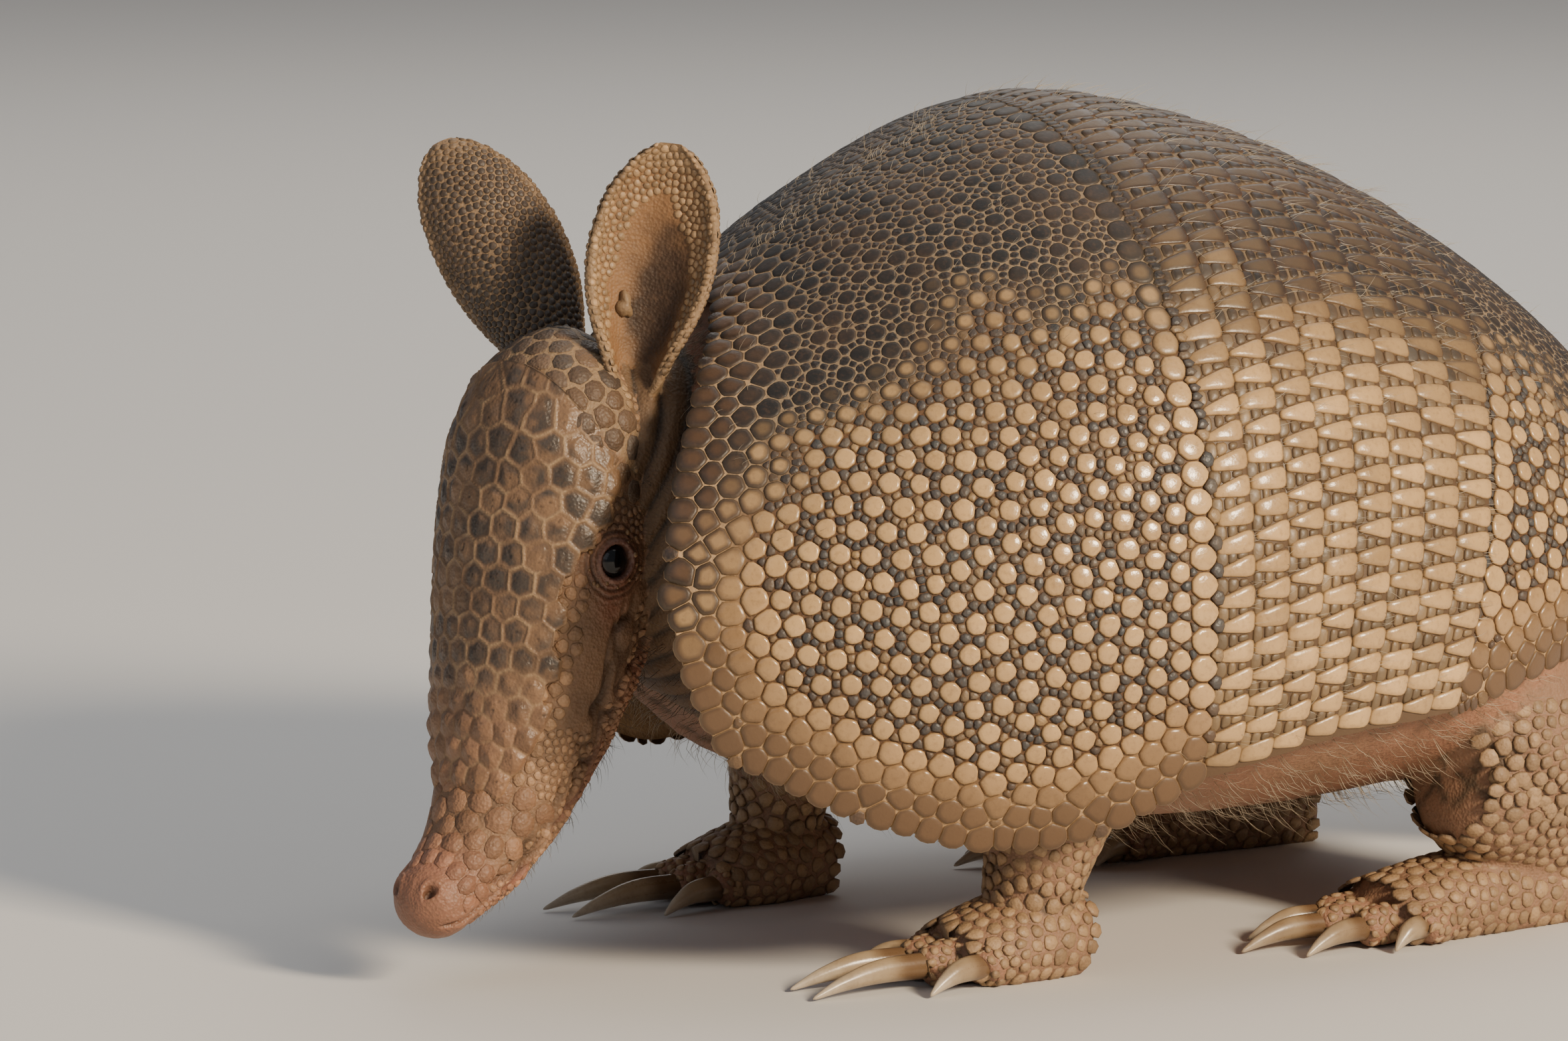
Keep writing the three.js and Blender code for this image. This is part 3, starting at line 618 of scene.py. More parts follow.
def shell_grid(holds, step_s, step_t):
    """Close places all over the part of the shell that `holds`."""
    s, t = np.meshgrid(np.arange(*SHELL_SPAN, step_s), np.arange(-SHELL_REACH, SHELL_REACH, step_t))
    at = stacked(s.ravel(), t.ravel())
    return at[holds(*at.T)]


def carapace(shield, margin_line):
    """Lays out one shield: the middles and sizes of its beads and of the small scales between."""
    holds = shield["holds"]
    coarse = shell_grid(holds, 0.6, 0.5)
    points = shell(*coarse.T)
    rng = np.random.default_rng(shield["seed"])
    margin = nearest(points, margin_line)[1][:, 0]
    # Rows of beads are laid inwards from the margins and from the row by the bands.
    row_s, row_edge, start_room = shield["row"]
    row = ring_angles(row_s, row_edge, start_room)
    start = stacked(row_s, row)
    spacing = np.interp(margin, [0, 16, 26], [4.5, 4.85, 5.45])
    order = np.argsort(margin + rng.random(len(margin)) * 0.12)
    order = order[margin[order] > 2.1]
    begun = shell(*start.T)
    chosen = scatter(points, order, spacing * 0.93, begun, start_room * 0.9)
    beads = chain(start, coarse[chosen])
    room = chain(np.full(len(start), start_room), spacing[chosen])
    still = np.arange(len(beads)) < len(start)
    bead_margin = chain(nearest(begun, margin_line)[1][:, 0], margin[chosen])
    still |= bead_margin < 3
    beads = relax(shell, beads, room * 1.06, still, 60, holds)
    bead_margin = nearest(shell(*beads.T), margin_line)[1][:, 0]
    packed = ease(19, 10, bead_margin)
    dark = 1 - paleness(*beads.T)
    radius = mix(mix(1.98, 1.85, dark), 2.75, packed) * (1 + 0.05 * rng.standard_normal(len(beads)))
    radius[:len(start)] = ROW_BEAD
    # Small scales fill the gaps, the widest gaps first.
    fine = shell_grid(holds, 0.42, 0.34)
    fine_points = shell(*fine.T)
    numbers, away = nearest(fine_points, shell(*beads.T), 4)
    free = (away - radius[numbers]).min(1)
    roomy = free > 0.5
    fine, free, fine_points = fine[roomy], free[roomy], fine_points[roomy]
    fine_margin = nearest(fine_points, margin_line)[1][:, 0]
    order = np.argsort(-free)
    order = order[(fine_margin[order] > 5) | (free[order] > 1)]
    size = 1.46 + 0.12 * noise(fine_points, 6, 5)
    chosen = scatter(fine_points, order, size)
    scales = fine[chosen]
    scales = relax(shell, scales, np.full(len(scales), 1.62), np.zeros(len(scales), bool), 8, holds,
                   shell(*beads.T), 2 * radius - 0.1)
    return beads, radius, scales, len(start)


def lay_carapace(node, shield, look):
    """Builds one shield: its plate, its beads and the small scales between them."""
    name = node + "_scutes"
    line = margin_points(shield["at"], shield["end"])
    beads, radius, scales, in_row = carapace(shield, line)
    everything = chain(beads, scales)
    radii = chain(radius, np.full(len(scales), SCALE_RADIUS))
    sites = Sites(shell, everything, shell_unwrap)
    margin = nearest(sites.points, line)[1][:, 0]
    bead, scale, groove = shell_colours(look, *everything.T, margin)
    pale = paleness(*everything.T)
    n = len(beads)
    reach = chain(np.minimum(radius * 1.1 + 0.05, 3.4), np.full(len(scales), 1.7))
    reach[:n] = np.where(margin[:n] < 12, 3.5, reach[:n])
    reach[:in_row] = 3.0
    gap = look.groove_width / 2 * mix(0.65, 1, ease(0.1, 0.7, pale))
    outline = cell_outlines(sites, radii, 48, gap, reach, shield["seed"])

    tall = mix(0.12, 0.55, pale) * (
        1 + 0.15 * np.random.default_rng(shield["seed"]).standard_normal(len(pale)))
    tall = mix(tall, 0.36, ease(10, 4, margin))
    # Part-way down the flank only the crown of a bead is pale, and its rim stays dark.
    crown = ease(0.0, 0.3, pale)[:n, None]
    rim = mix(look.dark_bead, bead[:n], ease(0.25, 0.8, pale)[:n, None])
    rim = rim * mix(0.6, 1, ease(4, 12, margin)[:n, None])
    heart = mix(bead[:n], look.cream, crown * (1 - pale[:n, None]) * 0.8)
    gloss = mix(mix(0.52, 0.2, pale), 0.4, ease(12, 4, margin))[:n]
    high = tall[:n]
    pile = Pile()
    light = pale[:n]
    add_scales(pile, Sites(shell, beads, shell_unwrap), outline[:n, ::3], [
        (0.98, -0.6, groove[:n], 0.6),
        (1.0, high * 0.12 - 0.05, mix(rim, groove[:n], mix(0.12, 0.5, light)[:, None]), gloss + 0.2),
        (mix(0.72, 0.9, light), high * mix(0.85, 0.7, light), mix(rim, bead[:n], 0.35), gloss + 0.06),
        (mix(0.3, 0.62, light), high * 0.97, heart, gloss),
        (0, high, heart, gloss)])
    pile.piece(name + "_beads", "polished horn", "scutes")

    high = tall[n:] * 0.66
    for part, half in (("left", everything[n:, 1] >= 0), ("right", everything[n:, 1] < 0)):
        pile = Pile()
        add_scales(pile, Sites(shell, scales[half], shell_unwrap), outline[n:, ::6][half], [
            (0.98, -0.6, groove[n:][half], 0.7),
            (1.0, high[half] * 0.1 - 0.04, mix(scale, groove, 0.25)[n:][half], 0.55),
            (0.74, high[half] * 0.85, scale[n:][half], 0.42),
            (0, high[half], scale[n:][half] * 1.15, 0.36)])
        pile.piece(f"{name}_scales_{part}", "rough horn", "scutes")

    def groove_at(s, t):
        away = nearest(shell(s, t), line)[1][:, 0]
        return shell_colours(look, s, t, away)[2]

    def top(s, t):
        return mix(-0.02, -0.22, paleness(s, t))

    pile = shell_plate(shield["at"], *shield["grid"], top, SHIELD_THICK, groove_at)
    pile.piece(name, "rough horn", "scutes", node)


def ring_angles(s, edge, spacing):
    """Angles down both flanks that stand `spacing` apart along the shell's ring at s."""
    t = np.linspace(-edge, edge, 800)
    points = shell(np.full(800, float(s)), t)
    length = chain([0], np.cumsum(np.linalg.norm(np.diff(points, axis=0), axis=1)))
    count = int(round(length[-1] / spacing))
    return np.interp((np.arange(count) + 0.5) / count * length[-1], length, t)


def band_surface(index):
    """The surface of one band: it comes out from under the band in front and laps over the next."""
    width = BANDS_LENGTH / BANDS

    def surface(v, t, height=0):
        rise = mix(-0.95, 0.3, ease(-0.25, 0.6, v)) + 0.25 * ease(0.5, 1, v)
        s = width * (index + v)
        return shell(s, t * mix(BAND_EDGE[0], BAND_EDGE[1], s / BANDS_LENGTH), rise + height)
    return surface


def lay_band(index, look):
    """One band: a strip with a thick rear edge, cream wedges and the dark triangles between."""
    surface = band_surface(index)
    rng = np.random.default_rng(40 + index)
    width = BANDS_LENGTH / BANDS
    s_mid = width * (index + 0.6)
    edge = mix(*BAND_EDGE, s_mid / BANDS_LENGTH)
    pile = Pile()

    # The strip goes over the outside, round the rear edge and back underneath.
    section = [(-0.22, 0), (0.1, 0), (0.4, 0), (0.7, 0), (0.93, -0.05), (0.985, -0.3), (0.98, -0.8),
               (0.9, -1.5), (0.5, -1.9), (-0.22, -1.2)]
    columns = 181
    across = np.linspace(-1, 1, columns)
    v = np.repeat([p[0] for p in section], columns)
    high = np.repeat([p[1] for p in section], columns) - 0.12
    u = np.tile(across, len(section))
    points = surface(v, u, high)
    s, t = width * (index + v), u * edge
    colour = shell_colours(look, s, t, np.full(len(s), FAR))[2]
    colour = mix(colour, look.between * 0.7, 0.5)
    faces = grid_faces(len(section), columns)
    loop = np.arange(len(section)) * columns
    back = stacked(np.arange(columns - 1), np.arange(1, columns), loop[-1] + np.arange(1, columns),
                   loop[-1] + np.arange(columns - 1))
    unwrap = shell_unwrap(s, t)
    unwrap[columns * 7:] *= 0.02
    pile.add(points, [chain(faces[:, ::-1], back)], unwrap, colour, 0.6)
    for end, rows in ((0, 1), (columns - 1, -1)):
        ring = (loop + end)[::rows]
        middle = points[ring].mean(0, keepdims=True)
        fan = stacked(np.arange(len(ring)), np.roll(np.arange(len(ring)), -1), len(ring))
        pile.add(chain(points[ring], middle), [fan], unwrap[ring[0]],
                 chain(colour[ring], colour[ring[:1]]), 0.6)

    wedge_t = ring_angles(s_mid, edge - 0.2, 5.15)
    count = len(wedge_t)
    pitch = np.gradient(wedge_t) / edge
    middle = wedge_t / edge + rng.normal(0, 0.04, count) * pitch

    pale = paleness(np.full(count, s_mid), wedge_t)
    narrow = mix(0.75, 1, pale)
    v0 = 0.03 + rng.random(count) * 0.09
    v1 = 1.0 + rng.normal(0, 0.012, count)
    front = rng.normal(0.22, 0.05, count) * narrow
    x, y = squircle(16, 0.5)
    share = (y + 1) / 2
    along = mix(v0[:, None], v1[:, None], share)
    half = mix(front[:, None], 0.46, ease(-0.1, 1.1, share)) * pitch[:, None]
    outline = stacked(along - (v0 + v1)[:, None] / 2, half * x)
    centres = stacked((v0 + v1) / 2, middle)
    s_of = width * (index + centres[:, 0])
    bead, _, groove = shell_colours(look, s_of, wedge_t, np.full(count, FAR))
    bead = mix(bead, look.cream, (0.35 * rng.random(count) * pale + 0.12)[:, None])
    bead = bead * (1 + 0.1 * rng.standard_normal((count, 1)))
    tall = mix(0.2, 0.48, pale)

    def unwrap_band(v, t):
        return shell_unwrap(width * (index + v), t * edge)

    ridge = mix(look.dark_bead * 2, bead, ease(0, 0.5, pale)[:, None])
    add_scales(pile, Sites(surface, centres, unwrap_band), outline, [
        (0.98, -0.7, groove, 0.6),
        (1.0, tall * 0.15, mix(ridge, look.groove, 0.6), 0.5),
        (0.87, tall * 0.75, mix(ridge, look.groove, 0.15), 0.33),
        (0.45, tall, bead, mix(0.5, 0.24, pale)),
        (0, tall * 1.03, bead, mix(0.5, 0.23, pale))])

    # Three little dark scales fill the triangle between two wedges, the narrow end at the rear.
    between = (middle[1:] + middle[:-1]) / 2
    gap_pitch = np.diff(middle)
    t_between = between * edge
    pale_between = paleness(np.full(count - 1, s_mid), t_between)
    for v_low, v_high, wide in ((0.0, 0.3, 0.3), (0.3, 0.56, 0.2), (0.56, 0.85, 0.11)):
        low = v_low + rng.normal(0, 0.02, count - 1)
        high_end = v_high + rng.normal(0, 0.02, count - 1)
        x, y = squircle(8, 0.6)
        half = (wide + (0.04 * (1 - narrow[1:]))[:, None]) * gap_pitch[:, None] * (1.15 - 0.2 * y)
        outline = stacked(((high_end - low) / 2 * 0.93)[:, None] * y, half * x)
        at = stacked((low + high_end) / 2, between)
        s_of = width * (index + at[:, 0])
        _, scale, groove = shell_colours(look, s_of, t_between, np.full(count - 1, FAR))
        fleck = rng.random((count - 1, 1)) ** 2
        scale = mix(scale, mix(look.between, look.cream, fleck * 0.4), pale_between[:, None] * 0.9)
        add_scales(pile, Sites(surface, at, unwrap_band), outline, [
            (0.96, -0.7, groove, 0.7),
            (1.0, 0.0, mix(scale, groove, 0.4), 0.6),
            (0.7, 0.2, scale, 0.5),
            (0, 0.24, scale, 0.45)])
    pile.piece(f"band_plate_{index + 1}", "polished horn", "scutes", f"band_{index + 1}")


# ---------------- the surfaces of the body

def trunk_edge(s):
    """How far down the flank the trunk follows the shell before it rounds into the belly."""
    chest = mix(BAND_EDGE[0], 97, np.clip(-s / 40, 0, 1)) - 6
    middle = mix(*BAND_EDGE, s / BANDS_LENGTH) - 6
    rump = np.minimum(BAND_EDGE[1] - 6, pelvic_edge(s) + 8)
    return np.where(s < 0, chest, np.where(s < BANDS_LENGTH, middle, rump))


def trunk_section(f, angle):
    """The trunk's ring at the share f of its length; angle runs round it from the back."""
    s = mix(*TRUNK, f)
    share = np.arctan2(np.sin(angle), np.cos(angle)) / (2 * pi)
    side = np.where(share < 0, -1, 1)
    edge = trunk_edge(s)
    inset = -4.2
    turned = np.abs(share) / 0.32
    back = shell(s, side * edge * np.minimum(turned, 1), inset)
    middle = ring_point(s, 0 * s, 0)[..., 0]
    belly_y, belly_z = (curve(BELLY["s"], BELLY[k], s) for k in "yz")
    down = pi / 2 * (np.abs(share) - 0.32) / 0.18
    out, up = np.cos(down), 1 - np.sin(down)
    under = stacked(mix(middle, back[..., 0], out), mix(belly_y, back[..., 1], up),
                    mix(belly_z, back[..., 2], up))
    under[..., 2] += 0.5 * noise(under * (1, 0.35, 1), 5, 8) + 0.6
    at = np.where((turned <= 1)[..., None], back, under)
    size = round_ends(f, 0.1, 0.07)
    return mix(ring_point(s, 0 * s, 4), at, size[..., None])


def round_ends(f, first, last):
    """A radius factor that rounds a loft's two ends, over the given shares of its length."""
    near, far = np.clip(f / first, 0, 1), np.clip((1 - f) / last, 0, 1)
    return np.sqrt(1 - (1 - near) ** 2) * np.sqrt(1 - (1 - far) ** 2)


def head(name, h):
    """One of the head's measures at h along it."""
    return curve(HEAD["h"], HEAD[name], h)


def head_point(h, left, front):
    """A point of the head: h along it from nape to nose, then to its left and towards its forehead."""
    ahead_by = head("forward", h + 0.5) - head("forward", h - 0.5)
    drop_by = head("drop", h + 0.5) - head("drop", h - 0.5)
    length = np.maximum(np.hypot(ahead_by, drop_by), 1e-6)
    ahead = head("forward", h) + front * drop_by / length
    rise = -head("drop", h) + front * ahead_by / length
    c, n = math.cos(HEAD_TURN), math.sin(HEAD_TURN)
    return np.stack(np.broadcast_arrays(HEAD_ROOT[0] + n * ahead + c * left,
                                        HEAD_ROOT[1] - c * ahead + n * left, HEAD_ROOT[2] + rise), -1)


def head_surface(h, angle, high=0):
    """The head's surface: angle in degrees from the forehead's middle, positive to the left."""
    turn = np.radians(angle)
    deep = np.where(np.cos(turn) > 0, head("front", h), head("back", h))
    return head_point(h, (head("halfWidth", h) + high) * np.sin(turn),
                      (deep + high) * np.cos(turn))


def head_skin(h, angle, high=0):
    """The head's surface with its two ends rounded off."""
    share = np.clip((h - HEAD["span"][0]) / (HEAD["span"][1] - HEAD["span"][0]), 0, 1)
    core = head_point(h, 0 * h, 0 * h)
    return mix(core, head_surface(h, angle, high), round_ends(share, 0.16, 0.05)[..., None])


def head_unwrap(h, angle):
    """The turn and share of a place on the head's own part of the unwrap."""
    return (angle + 180) / 360, (h - HEAD_LOFT[0]) / 120.3


def eye_distance(h, angle):
    """Steps along the head and round it from the eye's middle."""
    return h - EYE["h"], np.radians(np.abs(angle) - EYE["angle"]) * 20


def head_relief(h, angle):
    """How far the skin of the head stands out, and how far down in a fold it lies, from 0 to 1."""
    a = np.abs(angle)
    side = np.sign(angle)
    x, y = eye_distance(h, angle)
    r = np.hypot(x * 0.97, y)
    lid = ease(2.6, 3.2, r)
    high = 0.7 * np.exp(-(r / 5.5) ** 2) * lid - 4.5 * (1 - lid)
    high = high + 0.7 * np.exp(-((r - 3.6) / 0.62) ** 2) + 0.3 * y * np.exp(-(r / 5) ** 2) * lid
    wobble = lumps(2.2, 4, x, y, side * 5) * 0.5
    rings = np.cos((r - 3.6 + wobble * 0.5) * 2 * pi / 1.25)
    high = high + 0.26 * rings * ease(3.9, 4.6, r) * ease(9.5, 5.2, r)
    fold = (0.5 - 0.5 * rings) * ease(3.9, 4.6, r) * ease(9.5, 5.2, r)
    # Long folds run down the cheek from behind the eye to the corner of the mouth.
    y_side = np.radians(a) * head("halfWidth", h)
    bend = y_side + 0.11 * (h - 30)
    n = lumps(1, 6, h / 9, bend / 2.4, side * 3)
    cheek = ease(84, 94, a) * ease(172, 150, a) * ease(32, 44, h) * ease(101, 88, h)
    crease = np.exp(-(n / 0.16) ** 2)
    high = high + cheek * (0.9 * np.abs(n) - 1.1 * crease)
    fold = np.maximum(fold, crease * cheek)
    n = lumps(1, 14, h / 5, bend / 1.7, side * 2)
    crease = np.exp(-(n / 0.25) ** 2) * cheek * ease(132, 108, a)
    high = high + 0.5 * np.abs(n) * cheek - 0.6 * crease
    fold = np.maximum(fold, 0.7 * crease)
    # Behind the eye the skin gathers in upright folds.
    n = lumps(1, 9, h / 12, y_side / 3.2, side * 7)
    gather = ease(98, 108, a) * ease(46, 30, h)
    crease = np.exp(-(n / 0.22) ** 2)
    high = high + gather * (0.8 * np.abs(n) - 1.3 * crease)
    fold = np.maximum(fold, crease * gather)
    # The mouth, and the nostrils on the nose's front.
    line = 111 + 3 * lumps(8, 2, h, 0 * h, side)
    off = np.radians(a - line) * head("halfWidth", h)
    mouth = np.exp(-(off / 0.55) ** 2) * ease(60, 66, h) * ease(107, 104, h)
    lips = np.exp(-((np.abs(off) - 1.5) / 0.9) ** 2) * ease(60, 68, h) * ease(107, 102, h)
    high = high - 1.5 * mouth + 0.35 * lips
    fold = np.maximum(fold, mouth)
    nostril = np.hypot((h - 104.6) / 1.3, np.radians(a - 38) * 7 / 1.2)
    high = high - 2.2 * ease(1.15, 0.5, nostril) + 0.4 * np.exp(-((nostril - 1.5) / 0.5) ** 2)
    fold = np.maximum(fold, ease(1.2, 0.6, nostril))
    fine = lumps(1.1, 3, h, y_side, side)
    return high + 0.1 * fine * ease(3.2, 3.6, r), np.clip(fold, 0, 1)


def lined_head(h, angle, high=0):
    """The head's skin with all its folds."""
    return head_skin(h, angle, head_relief(h, angle)[0] - SKIN_SINK + high)


def ear_axes(side, out, axis, faces, **_):
    """Where an ear stands: its base, and the ways it points, opens and widens."""
    base = head_point(EAR_ROOT["h"], side * out, EAR_ROOT["front"])
    along = unit(np.array(axis, float))
    turn = math.radians(faces)
    hollow = np.array([math.sin(turn), -math.cos(turn), 0])
    hollow = unit(hollow - hollow.dot(along) * along)
    return base, along, hollow, np.cross(hollow, along)


def ear_surface(pose, outside):
    """One face of an ear, as a function of a (-1 to 1 across), v (0 to 1 along) and height."""
    base, along, hollow, across = ear_axes(**pose)

    def surface(a, v, high=0):
        roll = np.radians(curve(EAR["p"], EAR["roll"], v))
        width = EAR_HALF_WIDTH * curve(EAR["p"], EAR["width"], v)
        bow = width / np.sin(np.minimum(roll, pi / 2))
        thick = EAR_THICK * np.sqrt(np.clip(1 - np.abs(a) ** 6, 0.02, 1)) * ease(1.06, 0.9, v)
        out = bow - EAR_THICK / 2 + (thick / 2 + high if outside else -thick / 2 - high)
        # The rim is thicker than the blade and curls a little forward.
        out = out + (0.5 if outside else -0.5) * ease(0.84, 0.95, np.abs(a)) * ease(1, 0.97, v)
        angle = a * roll
        length = pose["length"] * v - EAR_ROOT["buried"]
        return (base + along * length[..., None]
                + across * (out * np.sin(angle) + pose["tip"] * v * v)[..., None]
                + hollow * (bow * EAR_HOLLOW - out * np.cos(angle))[..., None])
    return surface


def tube(path, mirror=1, floor=None):
    """A bent tube's surface, as a function of the share of its length, angle and height."""
    keys = np.linspace(0, 1, len(path["x"]))
    xs = [mirror * x for x in path["x"]]

    def middle(f):
        return stacked(curve(keys, xs, f), curve(keys, path["y"], f), curve(keys, path["z"], f))

    def surface(f, angle, high=0):
        along = unit(middle(np.minimum(f + 0.02, 1)) - middle(np.maximum(f - 0.02, 0)))
        across = unit(np.array([1.0, 0, 0]) - along[..., :1] * along)
        through = np.cross(along, across)
        at = (middle(f) + across * ((curve(keys, path["across"], f) + high) * np.cos(angle))[..., None]
              + through * ((curve(keys, path["through"], f) + high) * np.sin(angle))[..., None])
        if floor is not None:
            at[..., 2] = np.maximum(at[..., 2], floor)
        return at
    surface.middle = middle
    return surface


def rounded_tube(surface, ends, relief):
    """A tube's section with its ends drawn in to points."""
    def section(f, angle):
        at = surface(f, angle, relief(f, angle))
        return mix(surface.middle(f), at, round_ends(f, *ends)[..., None])
    return section


def digits(kind):
    """The path of each toe and of its claw."""
    wide, deep = kind["toeSize"]
    for toe in kind["toes"]:
        lean, ahead = math.sin(math.radians(toe["splay"])), math.cos(math.radians(toe["splay"]))
        tip = (toe["x"] + lean * toe["length"], toe["y"] - ahead * toe["length"])
        end = (tip[0] + lean * toe["claw"], tip[1] - ahead * toe["claw"])
        height = kind["toeHeight"]
        yield ({"x": [toe["x"] - lean * 6, (toe["x"] + tip[0]) / 2, tip[0]],
                "y": [toe["y"] + ahead * 6, (toe["y"] + tip[1]) / 2, tip[1]],
                "z": [height, height, height * 0.8],
                "across": [wide, wide, wide * 0.8], "through": [deep, deep, deep * 0.8]},
               {"x": [tip[0] - lean * 4, mix(tip[0], end[0], 0.35), mix(tip[0], end[0], 0.7), end[0]],
                "y": [tip[1] + ahead * 4, mix(tip[1], end[1], 0.35), mix(tip[1], end[1], 0.7), end[1]],
                "z": [height * 0.95, height * 0.98, height * 0.66, 0.6],
                "across": [wide * 0.64, wide * 0.56, wide * 0.38, 0.3],
                "through": [deep * 0.62, deep * 0.56, deep * 0.36, 0.3]})


def tail_section(p, angle, high=0):
    """The tail's surface p along it from its root."""
    def middle(q):
        return np.stack([curve(TAIL["p"], TAIL[k], q) for k in "xyz"], -1)
    along = unit(middle(np.minimum(p + 2, TAIL_LENGTH)) - middle(p - 2))
    across = unit(np.array([1.0, 0, 0]) - along[..., :1] * along)
    through = np.cross(along, across)
    radius = curve(TAIL["p"], TAIL["radius"], p) + high
    at = (middle(p) + across * (radius * np.cos(angle))[..., None]
          + through * (radius * np.sin(angle))[..., None])
    at[..., 2] = np.maximum(at[..., 2], 0)
    return at


# ---------------- the skin

def closed_tube(section, shares, angles):
    """A closed tube of rings section(share, angle) with a middle point at each end.
    Gives its points, its faces, and the share and turn (0 to 1) of each point."""
    f, a = np.meshgrid(shares, angles, indexing="ij")
    rings = section(f, a)
    n, around = f.shape
    points = chain(rings.reshape(-1, 3), rings[:1].mean(1), rings[-1:].mean(1))
    quads = grid_faces(n, around, closed=True)
    ring = np.arange(around)
    follow = np.roll(ring, -1)
    last = (n - 1) * around
    fans = chain(stacked(follow, ring, n * around), stacked(last + ring, last + follow, n * around + 1))
    corner = points[quads]
    volume = (corner[:, 0] * np.cross(corner[:, 1], corner[:, 2])).sum() + (
        corner[:, 0] * np.cross(corner[:, 2], corner[:, 3])).sum()
    if volume < 0:
        quads, fans = quads[:, ::-1], fans[:, ::-1]
    turn = (a - a.min()) / (2 * pi)
    local = stacked(np.append(turn, [0.5, 0.5]), np.append(f, [shares[0], shares[-1]]))
    return points, [quads, fans], local


class Skin:
    """Closed parts that are joined into one skin, layer by layer."""

    def __init__(self):
        self.layers, self.points, self.local, self.tint, self.gloss, self.part = {}, [], [], [], [], []
        self.rooms, self.blend = [], []
        self.corner = [0.01, 0.01, 0.0]

    def room(self, wide, high):
        """Takes a free place on the unwrap, shelf by shelf."""
        x, y, shelf = self.corner
        if x + wide > 0.995:
            x, y, shelf = 0.01, y + shelf + 0.008, 0.0
        self.corner = [x + wide + 0.012, y, max(shelf, high)]
        return x, y, wide, high

    def add(self, layer, mesh, room, tint, gloss, blend):
        """Adds a part: its mesh from closed_tube, its size on the unwrap, and how far around the
        place where it enters other parts the skin is smoothed."""
        points, faces, local = mesh
        number = len(self.rooms)
        self.rooms.append(self.room(*room))
        self.blend.append(blend)
        self.layers.setdefault(layer, []).append((points, faces))
        self.points.append(points)
        self.local.append(local)
        self.tint.append(np.broadcast_to(tint, (len(points), 3)))
        self.gloss.append(np.broadcast_to(gloss, len(points)))
        self.part.append(np.full(len(points), number))

    def solid(self, layer):
        points, quads, fans, count = [], [], [], 0
        for at, (four, three) in self.layers[layer]:
            points.append(at)
            quads.append(four + count)
            fans.append(three + count)
            count += len(at)
        mesh = plain_mesh("skin part", np.concatenate(points),
                          [np.concatenate(quads), np.concatenate(fans)])
        mesh.update(calc_edges=True)
        solid = bpy.data.objects.new("skin part", mesh)
        bpy.context.scene.collection.objects.link(solid)
        return solid

    def joined(self):
        """The parts' union as points and triangles."""
        numbers = sorted(self.layers)
        body = self.solid(numbers[0])
        for number in numbers[1:]:
            tool = self.solid(number)
            cut = body.modifiers.new("join", "BOOLEAN")
            cut.operation, cut.solver, cut.object = "UNION", "MANIFOLD", tool
            view = bpy.context.evaluated_depsgraph_get()
            mesh = bpy.data.meshes.new_from_object(body.evaluated_get(view))
            old = [body.data, tool.data]
            bpy.data.objects.remove(tool)
            body.modifiers.clear()
            body.data = mesh
            for data in old:
                bpy.data.meshes.remove(data)
        mesh = body.data
        mesh.calc_loop_triangles()
        points = np.empty(len(mesh.vertices) * 3)
        mesh.vertices.foreach_get("co", points)
        triangles = np.empty(len(mesh.loop_triangles) * 3, np.int32)
        mesh.loop_triangles.foreach_get("vertices", triangles)
        bpy.data.objects.remove(body)
        bpy.data.meshes.remove(mesh)
        return points.reshape(-1, 3), triangles.reshape(-1, 3)

    def piece(self, name, material, slot, *nodes):
        """Joins the parts, smooths the places where they meet and makes the piece."""
        source, part = np.concatenate(self.points), np.concatenate(self.part)
        local, tint = np.concatenate(self.local), np.concatenate(self.tint)
        gloss = np.concatenate(self.gloss)
        points, faces = self.joined()
        found, away = nearest(points, source)
        found, away = found[:, 0], away[:, 0]
        seam = away > 1e-3
        near = nearest(points, points[seam])[1][:, 0]
        reach = np.array(self.blend)[part[found]]
        weight = np.exp(-(near / reach) ** 2) * (near < 3 * reach)
        pairs = chain(faces[:, [0, 1]], faces[:, [1, 2]], faces[:, [2, 0]])
        pairs = chain(pairs, pairs[:, ::-1])
        degree = np.bincount(pairs[:, 0], minlength=len(points))
        grounded = points[:, 2] < 0.02
        for _ in range(10):
            around = np.stack([np.bincount(pairs[:, 0], points[pairs[:, 1], i], len(points))
                               for i in range(3)], -1) / degree[:, None]
            points = points + (around - points) * (weight * 0.7 * ~grounded)[:, None]
        # Each face lies on the unwrap in the place of the part that it comes from.
        corner = faces.ravel()
        owner = np.repeat(part[found[faces]].min(1), 3)
        own = part[found[corner]] == owner
        spot = local[found[corner]].copy()
        turn = spot[:, 0].reshape(-1, 3)
        turn[(turn.max(1) - turn.min(1) > 0.5)[:, None] & (turn < 0.5)] += 1
        spot[:, 0] = turn.ravel()
        rooms = np.array(self.rooms)[owner]
        unwrap = rooms[:, :2] + spot * rooms[:, 2:] * (0.98, 1)
        face = np.arange(len(corner)) // 3
        stand = np.zeros((len(faces), 2))
        stand[face[own]] = unwrap[own]
        unwrap[~own] = stand[face[~own]]
        mesh = new_mesh(name, points, [faces], unwrap, tint[found], gloss[found])
        return place(name, mesh, bpy.data.materials[material], slot, *nodes)

    def on_unwrap(self, number, turn, share):
        """Where a point of a part lies on the unwrap."""
        x, y, wide, high = self.rooms[number]
        return stacked(x + turn * wide * 0.98, y + share * high)


def uneven(low, high, close, wide, near, far):
    """Steps from low to high, `close` apart around the places in near (middle, reach), else wide."""
    steps = [low]
    while steps[-1] < high - wide / 2:
        here = steps[-1]
        share = max([1 - min(max(abs(here - at) - reach, 0) / far, 1) for at, reach in near])
        steps.append(here + mix(wide, close, share))
    steps[-1] = high
    return np.array(steps)


